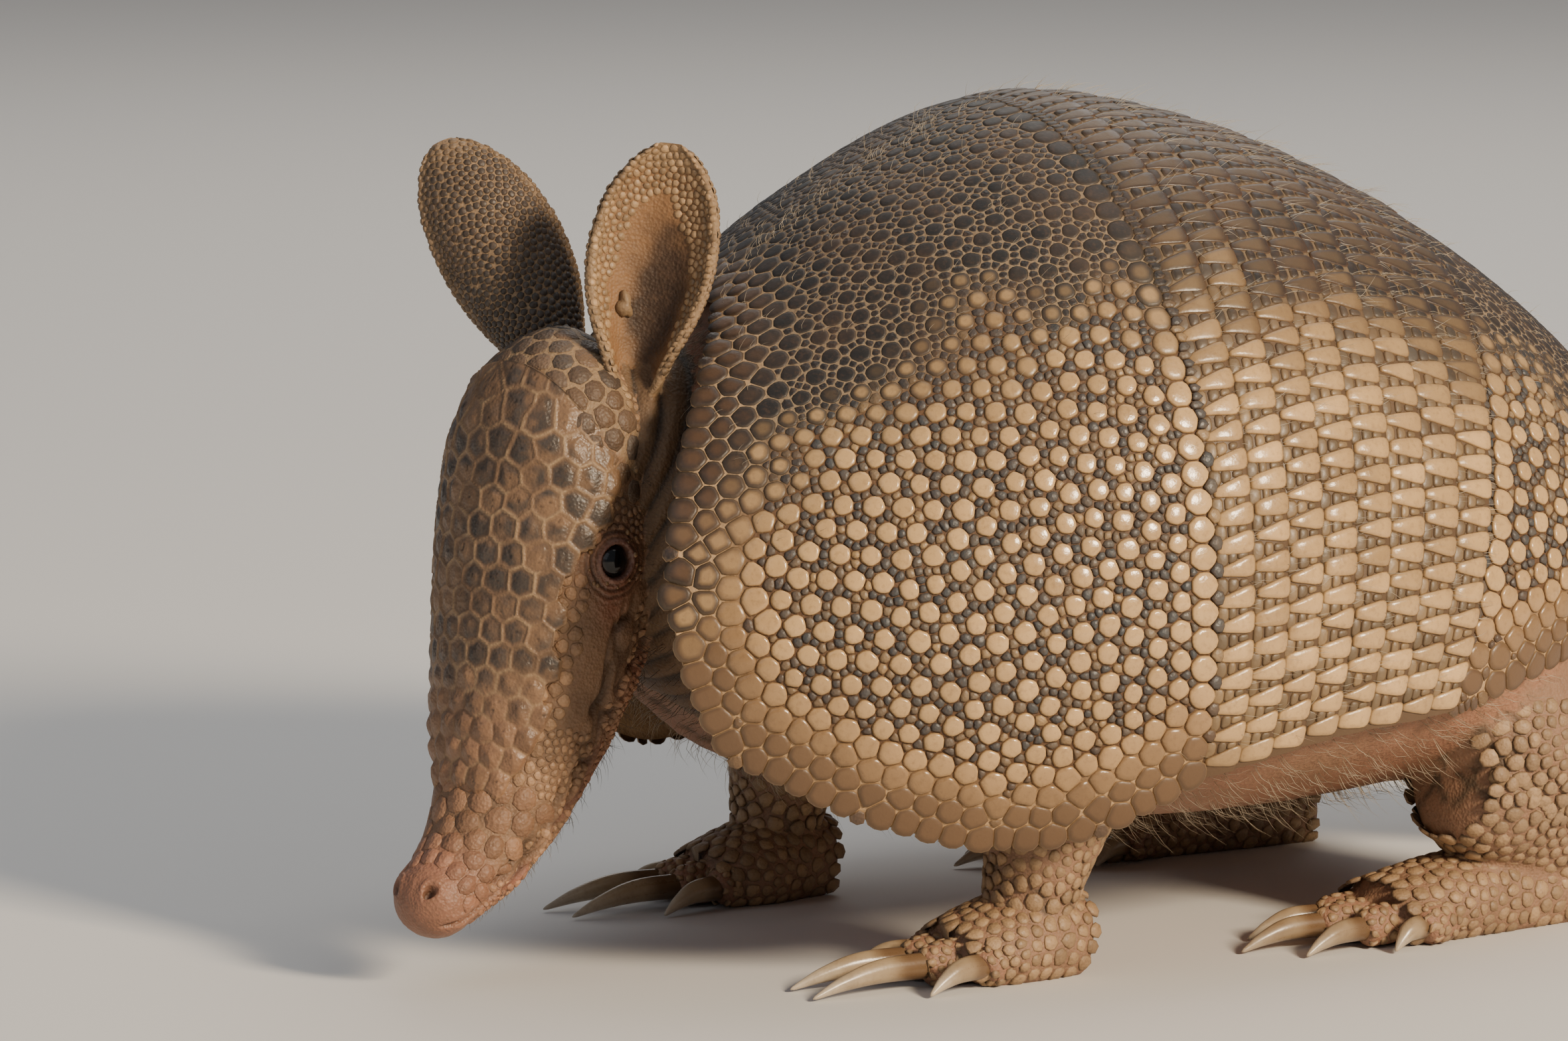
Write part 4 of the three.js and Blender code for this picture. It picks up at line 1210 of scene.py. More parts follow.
def shaded(colour, fold, deep):
    """A colour with painted shade: it darkens down in the folds."""
    return mix(np.asarray(colour), np.asarray(deep), np.clip(fold, 0, 1)[..., None])


def head_colours(look, h, angle, fold):
    """Colours and gloss of the head's bare skin, with painted shade down in its folds, mouth and
    nostrils.
    """
    a = np.abs(angle)
    x, y = eye_distance(h, angle)
    r = np.hypot(x, y)
    patch = lumps(5, 1, h, a * 0.35, np.sign(angle))
    colour = mix(look.skin, look.skin * 0.62, ease(-0.3, 0.6, patch)[..., None])
    crown = (h < shield_top(angle)) & (a < 95)
    colour = mix(colour, look.head_net * 0.85, (0.8 * crown)[..., None])
    cheek = ease(96, 128, a) * ease(36, 52, h)
    colour = mix(colour, look.pink * 0.85, (cheek * 0.9 * ease(-0.7, 0.4, patch))[..., None])
    # Pink and wet round the eye, most of all towards the snout.
    wet = np.exp(-(r / 6.5) ** 2) + 0.9 * np.exp(-((x - 8) / 5) ** 2 - ((y - 1) / 3.4) ** 2)
    colour = mix(colour, look.pink * 0.8, np.clip(wet, 0, 1)[..., None] * 0.75)
    colour = mix(colour, look.lid, (ease(4.6, 3.4, r))[..., None])
    nose = ease(88, 100, h)
    colour = mix(colour, look.nose, nose[..., None])
    # Painted shade: the folds, the mouth and the nostrils are darkened.
    colour = mix(colour, colour * 0.28, (fold * 0.9)[..., None])
    return colour, np.clip(0.55 - 0.3 * np.clip(wet, 0, 1) - 0.12 * nose, 0.15, 1)


def cells(points, middles):
    """How far each point lies from the edge of its cell, and its cell's number."""
    found, away = nearest(points, middles, 2)
    between = np.linalg.norm(middles[found[:, 0]] - middles[found[:, 1]], axis=-1)
    return (away[:, 1] ** 2 - away[:, 0] ** 2) / np.maximum(2 * between, 1e-6), found[:, 0]


def spread(surface, a_range, b_range, steps, spacing, holds, seed, rounds):
    """The middles of scales spread evenly over a part of a surface; spacing(a, b) is their pitch."""
    rng = np.random.default_rng(seed)
    a, b = np.meshgrid(np.linspace(*a_range, steps[0]), np.linspace(*b_range, steps[1]))
    at = stacked(a.ravel(), b.ravel())
    at = at[holds(*at.T)]
    room = spacing(*at.T)
    chosen = scatter(surface(*at.T), rng.permutation(len(at)), room * 0.84)
    at, room = at[chosen], room[chosen]
    at = relax(surface, at, room * 1.05, np.zeros(len(at), bool), rounds, holds)
    return at, spacing(*at.T)


def make_skin(look):
    """Builds the whole skin, then the scales that lie on the ears, cheeks, legs and tail."""
    skin = Skin()
    ring = turns(96)

    # Its rings stand close together over the rounded chest.
    f = chain(0.1 - 0.1 * np.cos(np.linspace(0.03, pi / 2, 50)),
              mix(0.1, 1, 0.5 - 0.5 * np.cos(np.linspace(0.3, pi - 0.04, 46))))
    mesh = closed_tube(trunk_section, f, ring)
    # Folds of skin ring the neck over the whole chest.
    points = mesh[0]
    around = np.hypot(points[:, 0] + 3, (points[:, 2] - 88) / 1.15)
    chest = ease(0.13, 0.07, mesh[2][:, 1]) * ease(86, 68, around)
    wave = np.abs(np.cos((around + 5 * noise(points, 22, 3) + 1.5 * noise(points, 7, 4)) * pi / 6.5))
    points[:, 1] -= chest * (2.2 * wave ** 0.6 + 0.7 * noise(points, 3.5, 6) - 1.6)
    belly = noise(points, 9, 2)[:, None]
    colour = mix(look.skin * 1.1, look.pink, 0.3 + 0.2 * belly)
    # Painted shade: the chest's creases are darkened toward half the neck's colour.
    colour = shaded(colour, chest * ease(0.5, 0.1, wave) * 0.8, look.neck * 0.5)
    skin.add(0, mesh, (0.24, 0.24), colour, 0.6, 6)

    def neck_relief(f, angle):
        wave = lumps(0.5, 5, np.cos(angle), np.sin(angle), f * 2)
        ribs = np.abs(np.cos((f * 66 + wave * 1.5) * pi / 4.6))
        cross = lumps(1, 8, np.cos(angle) * 12, np.sin(angle) * 12, f * 12)
        return 1.7 * ribs ** 0.6 + 0.3 * cross - 1.9

    neck = tube(NECK)
    mesh = closed_tube(rounded_tube(neck, (0.1, 0.1), neck_relief), np.linspace(0.02, 0.98, 130), ring)
    height = neck_relief(mesh[2][:, 1], mesh[2][:, 0] * 2 * pi)
    # Painted shade: the neck's colour darkens down in the creases between its ribs.
    colour = shaded(look.neck, ease(-0.3, -1.6, height), look.neck * 0.16)
    skin.add(1, mesh, (0.3, 0.24), colour, 0.55, 5)

    rows = uneven(*HEAD_LOFT, 0.34, 0.75, [(EYE["h"], 7), (104, 4)], 10)
    angles = uneven(-180, 180, 1.0, 2.5, [(90, 28), (-90, 28)], 18)[:-1]

    mesh = closed_tube(lined_head, rows, angles)
    h, a = np.repeat(rows, len(angles)), np.tile(angles, len(rows))
    h, a = np.append(h, rows[[0, -1]]), np.append(a, [0, 0])
    fold = head_relief(h, a)[1]
    colour, gloss = head_colours(look, h, a, fold)
    points, faces, local = mesh
    turn, share = head_unwrap(h, a)
    local = stacked(turn * (1 - 1 / len(angles)), share)
    skin.add(2, (points, faces, local), (0.36, 0.36), colour, gloss, 1.6)

    ear_numbers = {}
    theta = chain(np.linspace(0, pi, 46)[:-1], np.linspace(pi, 2 * pi, 46)[:-1])
    for name, pose in EAR_POSE.items():
        outer, inner = ear_surface(pose, True), ear_surface(pose, False)

        def section(v, turn):
            a = np.clip(-np.cos(turn) * (1 + 0.03 * ease(0.8, 1, np.abs(np.cos(turn)))), -1, 1)
            return np.where((np.sin(turn) >= 0)[..., None], outer(a, v, 0 * v), inner(a, v, 0 * v))

        v = chain(np.linspace(0.015, 0.94, 56),
                  0.94 + 0.06 * np.sin(np.linspace(0, pi / 2, 8))[1:])
        points, faces, local = closed_tube(section, v, theta)
        inside = np.sin(local[:, 0] * 2 * pi) < 0
        rim = ease(0.74, 0.96, np.abs(np.cos(local[:, 0] * 2 * pi))) + ease(0.86, 0.97, local[:, 1])
        hollow = mix(look.ear_inside, look.ear_rim * 0.8, np.clip(rim + 0.25, 0, 1)[:, None])
        back = mix(look.ear_net, look.ear_rim, 0.3 * np.clip(rim, 0, 1)[:, None])
        # Painted shade: the deep middle of the hollow is darkened almost to black.
        deep = np.hypot((-np.cos(local[:, 0] * 2 * pi) + 0.14) / 0.62, (local[:, 1] - 0.36) / 0.40)
        deep = ease(1.0, 0.45, deep + 0.2 * noise(points, 3, 6))[:, None]
        colour = np.where(inside[:, None], mix(hollow, look.ear_inside * 0.16, deep), back)
        ear_numbers[name] = len(skin.rooms)
        skin.add(3, (points, faces, local), (0.2, 0.2), colour, 0.55, 1.4)

    def creased(amount, scale):
        def relief(f, angle):
            n = lumps(1, 7, f * scale, np.cos(angle) * 1.2, np.sin(angle) * 1.2)
            return amount * (np.abs(n) - 0.35 - 0.6 * np.exp(-(n / 0.13) ** 2))
        return relief

    limb_angles = turns(42)
    limbs = []
    for mirror in (1, -1):
        for kind, parts in LEGS.items():
            for part in ("leg", "thigh", "foot"):
                if part not in parts:
                    continue
                foot = part == "foot"
                surface = tube(parts[part], mirror, 0 if foot else None)
                relief = creased(0.25, 14) if foot else creased(0.55, 12)
                shares = 0.5 - 0.5 * np.cos(np.linspace(0.12, pi - 0.12, 44))
                mesh = closed_tube(rounded_tube(surface, LIMB_ENDS, relief), shares, limb_angles)
                # Painted shade: the skin darkens down in the creases of the legs and feet.
                fold = ease(-0.1, -0.5, relief(mesh[2][:, 1], mesh[2][:, 0] * 2 * pi))
                colour = shaded(mix(look.leg, look.pink, 0.25), fold, look.leg * 0.35)
                limbs.append((surface, part, kind, len(skin.rooms)))
                skin.add(4 if foot else (1 if part == "thigh" else 5), mesh, (0.105, 0.11), colour, 0.55,
                         1.6 if foot else 5)
            for order, (toe, _) in enumerate(digits(parts)):
                surface = tube(toe, mirror, 0)
                relief = creased(0.14, 5)
                mesh = closed_tube(rounded_tube(surface, LIMB_ENDS, relief), np.linspace(0.03, 0.97, 16),
                                   turns(18))
                limbs.append((surface, "toe", kind, len(skin.rooms)))
                skin.add(6 + order % 2, mesh, (0.03, 0.03), mix(look.leg, look.pink, 0.4), 0.5, 0.9)

    def tail_ring(share, angle):
        return tail_skin(TAIL_LENGTH * share ** TAIL_PACE, angle)

    mesh = closed_tube(tail_ring, np.linspace(0, 1, 150), turns(36))
    tail_number = len(skin.rooms)
    skin.add(5, mesh, (0.5, 0.1), mix(look.leg * 0.75, look.neck, 0.4), 0.55, 3)

    nodes = ["trunk", "neck", "head", "lower_jaw"]
    for side in ("left", "right"):
        nodes += [f"{part}_{side}" for part in ("ear", "foreleg", "forefoot", "hindleg", "hindfoot")]
    nodes += [f"tail_{k + 1}" for k in range(5)]
    skin.piece("skin", "bare skin", "skin", *nodes)

    lay_cheek_scales(skin, look)
    lay_ear_scales(skin, ear_numbers, look)
    lay_leg_scales(skin, limbs, look)
    lay_tail_scales(skin, tail_number, look)
    return skin


def simple_scales(pile, surface, at, room, unwrap, sides, gap, tall, colour, net, seed, gloss=0.45,
                  crown=0.82):
    """Low rounded scales on a skin, each as wide as its share of it."""
    sites = Sites(surface, at, unwrap)
    outline = cell_outlines(sites, room / 2, 3 * sides, gap, room * 0.7, seed)[:, ::3]
    tall = np.broadcast_to(tall, len(at))
    add_scales(pile, sites, outline, [
        (0.98, -0.45, net, 0.65),
        (1.0, tall * 0.1, mix(colour, net, 0.4), 0.6),
        (crown, tall * 0.75, colour, gloss + 0.06),
        (0, tall, colour * 1.06, gloss)])


def lay_cheek_scales(skin, look):
    """Small granular scales on the cheeks, jaw and throat, and bigger ones on the snout."""
    def crown(h, a):
        """The forehead above the shield, up to the ears."""
        return (h < shield_top(a) + 5) & (np.abs(a) < 92)

    def snout(h, a):
        return (h > 79) & (np.abs(a) < 95)

    def holds(h, a):
        x, y = eye_distance(h, a)
        far = np.abs(a)
        reach = shield_reach(h / 83)
        bare = (far > reach + 7) & (far < 108 + 6 * lumps(6, 4, h, far, a)) & (h > 33) & (h < 64)
        cheek = (far > reach - 9) & (h > -4) & (np.hypot(x, y) > 6.4) & ~bare
        mouth = (np.abs(far - 111) < 7) & (h > 62)
        return (snout(h, a) | crown(h, a) | cheek & ~snout(h, a) & (h < 99)) & (h < 100) & ~mouth

    def pitch(h, a):
        cheek = 1.45 + 0.3 * lumps(7, 2, h, a * 0.3, 0 * h)
        near_border = ease(10, 4, np.abs(a) - shield_reach(h / 83))
        cheek = cheek + 1.1 * near_border
        top = mix(4.7, 3.4, ease(84, 99, h)) * ease(200, 40, np.abs(a)) ** 0.3
        return np.where(snout(h, a), top, np.where(crown(h, a), 4.3, cheek))

    at, room = spread(lined_head, (-12, 100), (-179, 179), (280, 560), pitch, holds, 21, 10)
    h, a = at.T
    fold = head_relief(h, a)[1]
    colour, _ = head_colours(look, h, a, fold)
    rng = np.random.default_rng(3)
    shade = 0.8 + 0.5 * rng.random((len(at), 1))
    snouted, crowned = snout(h, a)[:, None], crown(h, a)[:, None]
    domed = mix(look.snout, look.nose, ease(88, 101, h)[:, None]) * shade
    dark = mix(look.head_dark, look.head_warm, 0.7 * rng.random((len(at), 1))) * shade
    colour = np.where(snouted, domed, mix(colour * 1.25, look.pale_net * 0.8, 0.2) * shade)
    colour = np.where(crowned, dark, colour)
    net = np.where(snouted, mix(look.head_net, look.nose, 0.4) * 0.8, colour * 0.45)
    net = np.where(crowned, look.head_net * 0.8, net)
    keep = (fold < 0.5) | crowned[:, 0]
    pile = Pile()
    simple_scales(pile, lined_head, at[keep], room[keep],
                  lambda h, a: skin.on_unwrap(HEAD_PART, *head_unwrap(h, a)),
                  8, np.where(snouted[:, 0], 0.05, 0.1)[keep],
                  np.where(snouted[:, 0], 0.32, 0.3)[keep], colour[keep], net[keep], 5,
                  crown=np.where(snouted[:, 0] | crowned[:, 0], 0.93, 0.8)[keep])
    pile.piece("cheek_scales", "bare skin", "skin")


def lay_ear_scales(skin, numbers, look):
    """Close pebbles over the backs of the ears and along the rims of their hollows."""
    for name, pose in EAR_POSE.items():
        pile = Pile()
        for outside in (True, False):
            surface = ear_surface(pose, outside)

            def holds(a, v):
                ragged = 0.1 * lumps(4, 7, a * 12, v * 50, 0 * a)
                deep = np.hypot(a / 0.66, np.maximum(v - 0.3, 0) / 0.5) + ragged > 1
                return (np.abs(a) < 0.985) & (v > 0.09) & (v < 0.985) & (outside | deep)

            def pitch(a, v):
                return (1.38 + 0.1 * lumps(3, 2, a * 9, v * 40, 0 * a)
                        - 0.15 * ease(0.6, 0.9, np.abs(a)))

            at, room = spread(surface, (-0.985, 0.985), (0.09, 0.985), (110, 170), pitch, holds, 31, 10)
            rim = np.clip(ease(0.72, 0.95, np.abs(at[:, 0])) + ease(0.86, 0.97, at[:, 1]), 0, 1)
            shade = 0.7 + 0.7 * np.random.default_rng(5).random((len(at), 1))
            if outside:
                colour = mix(look.ear_pebble, look.ear_rim, 0.45 * rim[:, None]) * shade
            else:
                colour = mix(look.ear_rim * 0.85, look.ear_rim, rim[:, None]) * shade

            def unwrap(a, v):
                turn = np.arccos(np.clip(-a, -1, 1)) / (2 * pi)
                return skin.on_unwrap(numbers[name], turn if outside else 1 - turn, v)

            simple_scales(pile, surface, at, room, unwrap, 7, 0.04, 0.3, colour,
                          mix(look.ear_net, colour, 0.2), 6, 0.4)
        # A knob stands in the mouth of the hollow.
        base = ear_surface(pose, False)(np.array(0.36), np.array(0.34), 0)
        out = unit(ear_surface(pose, False)(np.array(0.36), np.array(0.34), 1.0) - base)

        def knob(f, turn):
            side = np.cross(out, [0, 0, 1.0])
            polar = pi * f
            wide = 1.5 * np.sin(polar) * (1 + 0.2 * np.cos(turn * 3 + 1) + 0.12 * np.cos(turn * 5))
            return base + (out * (0.3 - 1.7 * np.cos(polar))[..., None]
                           + side * (wide * np.cos(turn))[..., None]
                           + np.array([0, 0, 1.0]) * (1.7 * wide * np.sin(turn))[..., None])

        points, faces, local = closed_tube(knob, np.linspace(0.03, 0.97, 14), turns(20))
        pile.add(points, faces, skin.on_unwrap(
            numbers[name], 0.7 + local[:, 0] * 0.02, 0.3 + local[:, 1] * 0.02), look.ear_rim * 0.7, 0.5)
        pile.piece(f"ear_pebbles_{name}", "rough horn", "skin")


def lay_leg_scales(skin, limbs, look):
    """Scales down the legs and over the feet and toes."""
    piles = {"fore": Pile(), "hind": Pile()}
    for surface, part, kind, number in limbs:
        size = {"thigh": 3.2, "leg": 3.0, "foot": 3.0, "toe": 2.2}[part]

        def holds(f, angle):
            z = surface(f, angle)[..., 2]
            return (z > 1.0) & (f > 0.08) & (f < 0.95) & (z < 46)

        def pitch(f, angle):
            return size * (1 + 0.25 * lumps(1, 3, f * 6, np.cos(angle), np.sin(angle)))

        steps = (40, 40) if part == "toe" else (90, 110)
        at, room = spread(surface, (0.05, 0.95), (0, 2 * pi), steps, pitch, holds, number, 6)
        if not len(at):
            continue

        def skin_of(f, angle, high=0):
            return surface(f, angle, high - 0.05)

        shade = 0.75 + 0.5 * np.random.default_rng(number).random((len(at), 1))
        colour = mix(look.leg, look.cream, 0.25) * shade
        simple_scales(piles[kind], skin_of, at, room,
                      lambda f, angle: skin.on_unwrap(number, angle / (2 * pi), f),
                      8, 0.2, 0.42, colour, look.leg * 0.4, number)
    for kind, pile in piles.items():
        pile.piece(f"{kind}leg_scales", "rough horn", "skin")


def tail_rings():
    """Where each of the tail's bony rings begins."""
    starts = [26.0]
    while starts[-1] < 178:
        starts.append(starts[-1] + mix(10.5, 7.0, (starts[-1] - 26) / 152))
    return np.array(starts)


def tail_phase(p):
    """How far back in its ring a place on the tail lies, from 0 to 1."""
    starts = tail_rings()
    i = np.clip(np.searchsorted(starts, p) - 1, 0, len(starts) - 2)
    return np.clip((p - starts[i]) / (starts[i + 1] - starts[i]), 0, 1)


def tail_skin(p, angle, high=0):
    """The tail's surface with its bony rings."""
    step = 0.35 * (tail_phase(p) - 0.5) * ease(200, 150, p)
    return tail_section(p, angle, step - 0.5 * ease(TAIL_LENGTH, 200, p) + high)


def lay_tail_scales(skin, number, look):
    """Rings of long scales round the tail's root, and close small scales over the rest of it."""
    starts = tail_rings()
    rows, rooms, talls = [], [], []
    rng = np.random.default_rng(9)
    for start, end in zip(starts[:-1], starts[1:]):
        long = end - start
        for place_in, pitch, tall in ((0.16, 2.9, 0.3), (0.62, 3.1, 0.75)):
            p = start + long * place_in
            radius = float(curve(TAIL["p"], TAIL["radius"], p))
            count = max(8, int(round(2 * pi * radius / pitch)))
            angle = (np.arange(count) + rng.random() + 0.12 * rng.standard_normal(count)) * 2 * pi / count
            rows.append(stacked(np.full(count, p), angle % (2 * pi)))
            size = long * (0.42 if place_in < 0.5 else 0.66)
            rooms.append(np.full(count, size))
            talls.append(np.full(count, tall))
    ringed, room, tall = np.concatenate(rows), np.concatenate(rooms), np.concatenate(talls)

    def holds(p, angle):
        return (p > 182) & (p < 289) & (tail_section(p, angle)[..., 2] > 0.4)

    def pitch(p, angle):
        return mix(2.7, 1.2, ease(180, 289, p))

    rest, rest_room = spread(tail_skin, (182, 289), (0, 2 * pi), (170, 60), pitch, holds, 8, 6)
    at = chain(ringed, rest)
    room = chain(room, rest_room)
    tall = chain(tall, np.full(len(rest), 0.3))
    clear = tail_skin(*at.T)[:, 2] > 0.9
    at, room, tall = at[clear], room[clear], tall[clear]
    shade = 0.75 + 0.5 * rng.random((len(at), 1))
    pale = ease(-0.5, 0.6, noise(tail_skin(*at.T), 14, 2))[:, None]
    colour = mix(look.slate * 1.5, look.cream * 0.75, pale * 0.75) * shade
    pile = Pile()
    simple_scales(pile, tail_skin, at, room, lambda p, a: skin.on_unwrap(
        number, a / (2 * pi), (np.clip(p, 0, TAIL_LENGTH) / TAIL_LENGTH) ** (1 / TAIL_PACE)),
        10, 0.2, tall, colour, look.groove * 0.6, 4)
    pile.piece("tail_scales", "rough horn", "skin")


# ---------------- head shield, eyes, claws and hairs

def shield_top(angle):
    """Where along the head its shield begins."""
    across = np.abs(angle) / 82
    return HEAD_SHIELD["span"][0] + HEAD_SHIELD["arch"] * np.minimum(across, 1.15) ** 2


def shield_reach(v):
    """How far to each side the head's shield reaches, in degrees."""
    return curve(HEAD_SHIELD["v"], HEAD_SHIELD["reach"], v)


def shield_place(across, v):
    """Head coordinates on the head shield."""
    h = mix(*HEAD_SHIELD["span"], v) + HEAD_SHIELD["arch"] * across ** 2 * (1 - v)
    return h, across * shield_reach(v)


def lay_head_shield(look):
    """The shield of the head: a sheet with low domes, and pale seams that stand up between them."""
    rng = np.random.default_rng(17)
    rows = []
    h, index = -7.0, 0
    while h < 90:
        wide = float(head("halfWidth", h)) + 2
        pitch = mix(6.0, 4.9, ease(10, 80, h))
        step = math.degrees(pitch / wide)
        angle = (np.arange(-24, 25) + 0.5 * (index % 2)) * step
        angle = angle[np.abs(angle) < 105]
        loose = mix(1.35, 0.45, ease(24, 60, h))
        rows.append(stacked(h + loose * rng.standard_normal(len(angle)) * 0.75,
                            angle + loose * rng.standard_normal(len(angle)) * 0.75 * step / pitch))
        h += mix(5.5, 5.0, ease(10, 80, h))
        index += 1
    middles = np.concatenate(rows)
    middles = relax(head_surface, middles, np.full(len(middles), 5.6), np.zeros(len(middles), bool), 5,
                    lambda h, a: np.abs(a) < 112)
    n_rows, columns = 220, 170
    across, v = np.meshgrid(np.linspace(-1, 1, columns), np.linspace(0, 1, n_rows))
    h, a = shield_place(across, v)
    h, a, across, v = h.ravel(), a.ravel(), across.ravel(), v.ravel()
    bare = head_surface(h, a, 1.6)
    wobble = np.stack([noise(bare, 2.6, k) for k in (1, 2, 3)], -1) * 0.35
    edge, cell = cells(bare + wobble, head_surface(*middles.T, 1.6))
    snout = ease(46, 68, h)
    seam = np.exp(-(edge / mix(0.27, 0.36, snout)) ** 2)
    dome = ease(0.3, 2.4, edge)
    high = mix(0.36, -0.30, snout) * seam + mix(0.3, 0.6, snout) * dome
    # The forehead's scutes dip and swell unevenly, and the snout's are pitted with pores.
    high += 0.2 * noise(bare, 1.9, 6) * dome
    pore = noise(bare, 0.62, 11)
    high -= 0.2 * ease(0.45, 0.75, pore) * dome
    # The shield ends in whole scutes: the cells that its outline cuts through lie under the skin.
    along, turn = middles.T
    share = (along - shield_top(turn)) / (HEAD_SHIELD["span"][1] - shield_top(turn))
    within = (share < 0.97) & (
        np.abs(turn) < shield_reach(share) - 3 + 9 * ease(0.15, 0, share))
    rim = np.minimum.reduce([v * 87 + 2, (1 - v) * 87, (1 - np.abs(across)) * 26])
    thin = np.sqrt(np.clip(rim / 1.3, 0, 1))
    lip = ease(0, 1.1, edge)
    top = 0.7 + 0.5 * thin + high * thin - 0.8 * ease(68, 83, h) - 1.95 * ease(11, 0, v * 87)
    top = np.where(within[cell], top - 0.35 * (1 - lip) * ease(5, 0, rim), -1.1)
    shade = rng.random(len(middles))[cell]
    warm = ease(-0.35, 0.5, noise(bare, 4.5, 9) + 0.5 * (shade - 0.5) + 0.35 * noise(bare, 1.4, 12))
    warm = np.maximum(warm * 0.85, 0.75 * ease(1.1, 0.4, edge))
    colour = mix(look.head_dark, look.head_warm, warm[:, None])
    lower = mix(look.snout, look.head_warm, 0.35 * (1 - warm[:, None]))
    colour = mix(colour, lower, ease(50, 74, h)[:, None]) * (0.82 + 0.36 * shade)[:, None]
    colour = mix(colour, look.head_net, (seam * mix(0.95, 0.5, snout) * ease(-0.5, 0.35, noise(
        bare, 2.2, 4)))[:, None])
    # Painted shade: the pores are darkened down in their pits.
    colour = mix(colour, colour * 0.35, (ease(0.5, 0.75, pore) * dome)[:, None])
    upper = head_surface(h, a, top)
    lower_side = head_surface(h, a, -1.5)
    unwrap = stacked(0.5 + across * 0.47, 0.02 + v * 0.94)
    pile = Pile()
    pile.add(chain(upper, lower_side), [sheet_faces(n_rows, columns)],
             chain(unwrap, unwrap * 0.01), chain(colour, colour),
             chain(0.34 + 0.2 * seam, 0.6 + 0 * seam))
    pile.piece("head_shield_scutes", "rough horn", "head_scutes", "head_shield")


def lay_eye(name, side, look):
    """A wet black eye."""
    centre = head_surface(np.array(EYE["h"]), np.array(side * EYE["angle"]), -EYE["sink"])
    out = unit(head_surface(np.array(EYE["h"]), np.array(side * EYE["angle"]), 4.0) - centre)
    up = unit(np.cross(out, [0, 1.0, 0.3]))
    other = np.cross(out, up)

    def section(f, angle):
        polar = pi * f
        swell = EYE["radius"] * (1 + 0.05 * np.exp(-(polar / 0.6) ** 2))
        return centre + (out * np.cos(polar)[..., None] + up * (np.sin(polar) * np.cos(angle))[..., None]
                         + other * (np.sin(polar) * np.sin(angle))[..., None]) * swell[..., None]

    points, faces, local = closed_tube(section, np.linspace(0.01, 0.99, 48), turns(64))
    rim = ease(0.26, 0.36, local[:, 1])
    pile = Pile()
    pile.add(points, faces, 0.02 + local * (0.96, 0.96), mix(look.eye, look.eye_rim, rim[:, None]), 0.05)
    # Drops of wet stand on the skin round the eye, most of them below it.
    rng = np.random.default_rng(9)
    for _ in range(EYE["drops"]):
        far, turn = rng.uniform(3.9, 6.6), rng.uniform(-0.7, 0.9) * pi
        size = rng.uniform(0.25, 0.48)
        h, a = EYE["h"] + far * math.cos(turn), EYE["angle"] + math.degrees(far * math.sin(turn) / 20)
        h, a = np.array(h), np.array(side * a)
        middle = head_surface(h, a, head_relief(h, a)[0] - SKIN_SINK)

        def drop(f, angle):
            polar = pi * f
            return middle + size * stacked(np.sin(polar) * np.cos(angle), np.sin(polar) * np.sin(angle),
                                           1.15 * np.cos(polar))

        points, faces, local = closed_tube(drop, np.linspace(0.04, 0.96, 9), turns(12))
        pile.add(points, faces, 0.99 + local * 0.005, look.neck * 1.5, 0.05)
    pile.piece(f"eyeball_{name}", "wet eye", "eye", f"eye_{name}")


def lay_claws(name, kind, side, mirror, look):
    """The curved claws of one foot."""
    pile = Pile()
    nodes = []
    for index, (_, claw) in enumerate(digits(LEGS[kind])):
        surface = tube(claw, mirror, 0)

        def relief(f, angle):
            under = np.sin(angle)
            ridge = -0.12 * np.exp(-((np.abs(np.cos(angle)) - 0.55) / 0.2) ** 2)
            lines = 0.05 * lumps(1, 3, f * 5, np.cos(angle) * 6, under * 6)
            return (ridge + lines) * (1 - f)

        shape = rounded_tube(surface, (0.1, 0.05), relief)
        points, faces, local = closed_tube(shape, np.linspace(0.02, 0.995, 44), turns(24))
        turn, f = local.T
        streak = lumps(1, index, f * 3, np.cos(turn * 6.28) * 5, np.sin(turn * 6.28) * 5)
        colour = mix(look.claw, look.claw_tip, ease(0.35, 1, f + 0.15 * streak)[:, None])
        colour = mix(colour, look.groove, (ease(0.34, 0.2, f) * 0.8)[:, None])
        pile.add(points, faces, [0.02 + 0.19 * index, 0.02] + local * (0.17, 0.9), colour,
                 0.36 + 0.1 * streak)
        nodes.append(f"{kind}claw_{side}_{index + 1}")
    pile.piece(name, "claw horn", "claw", *nodes)


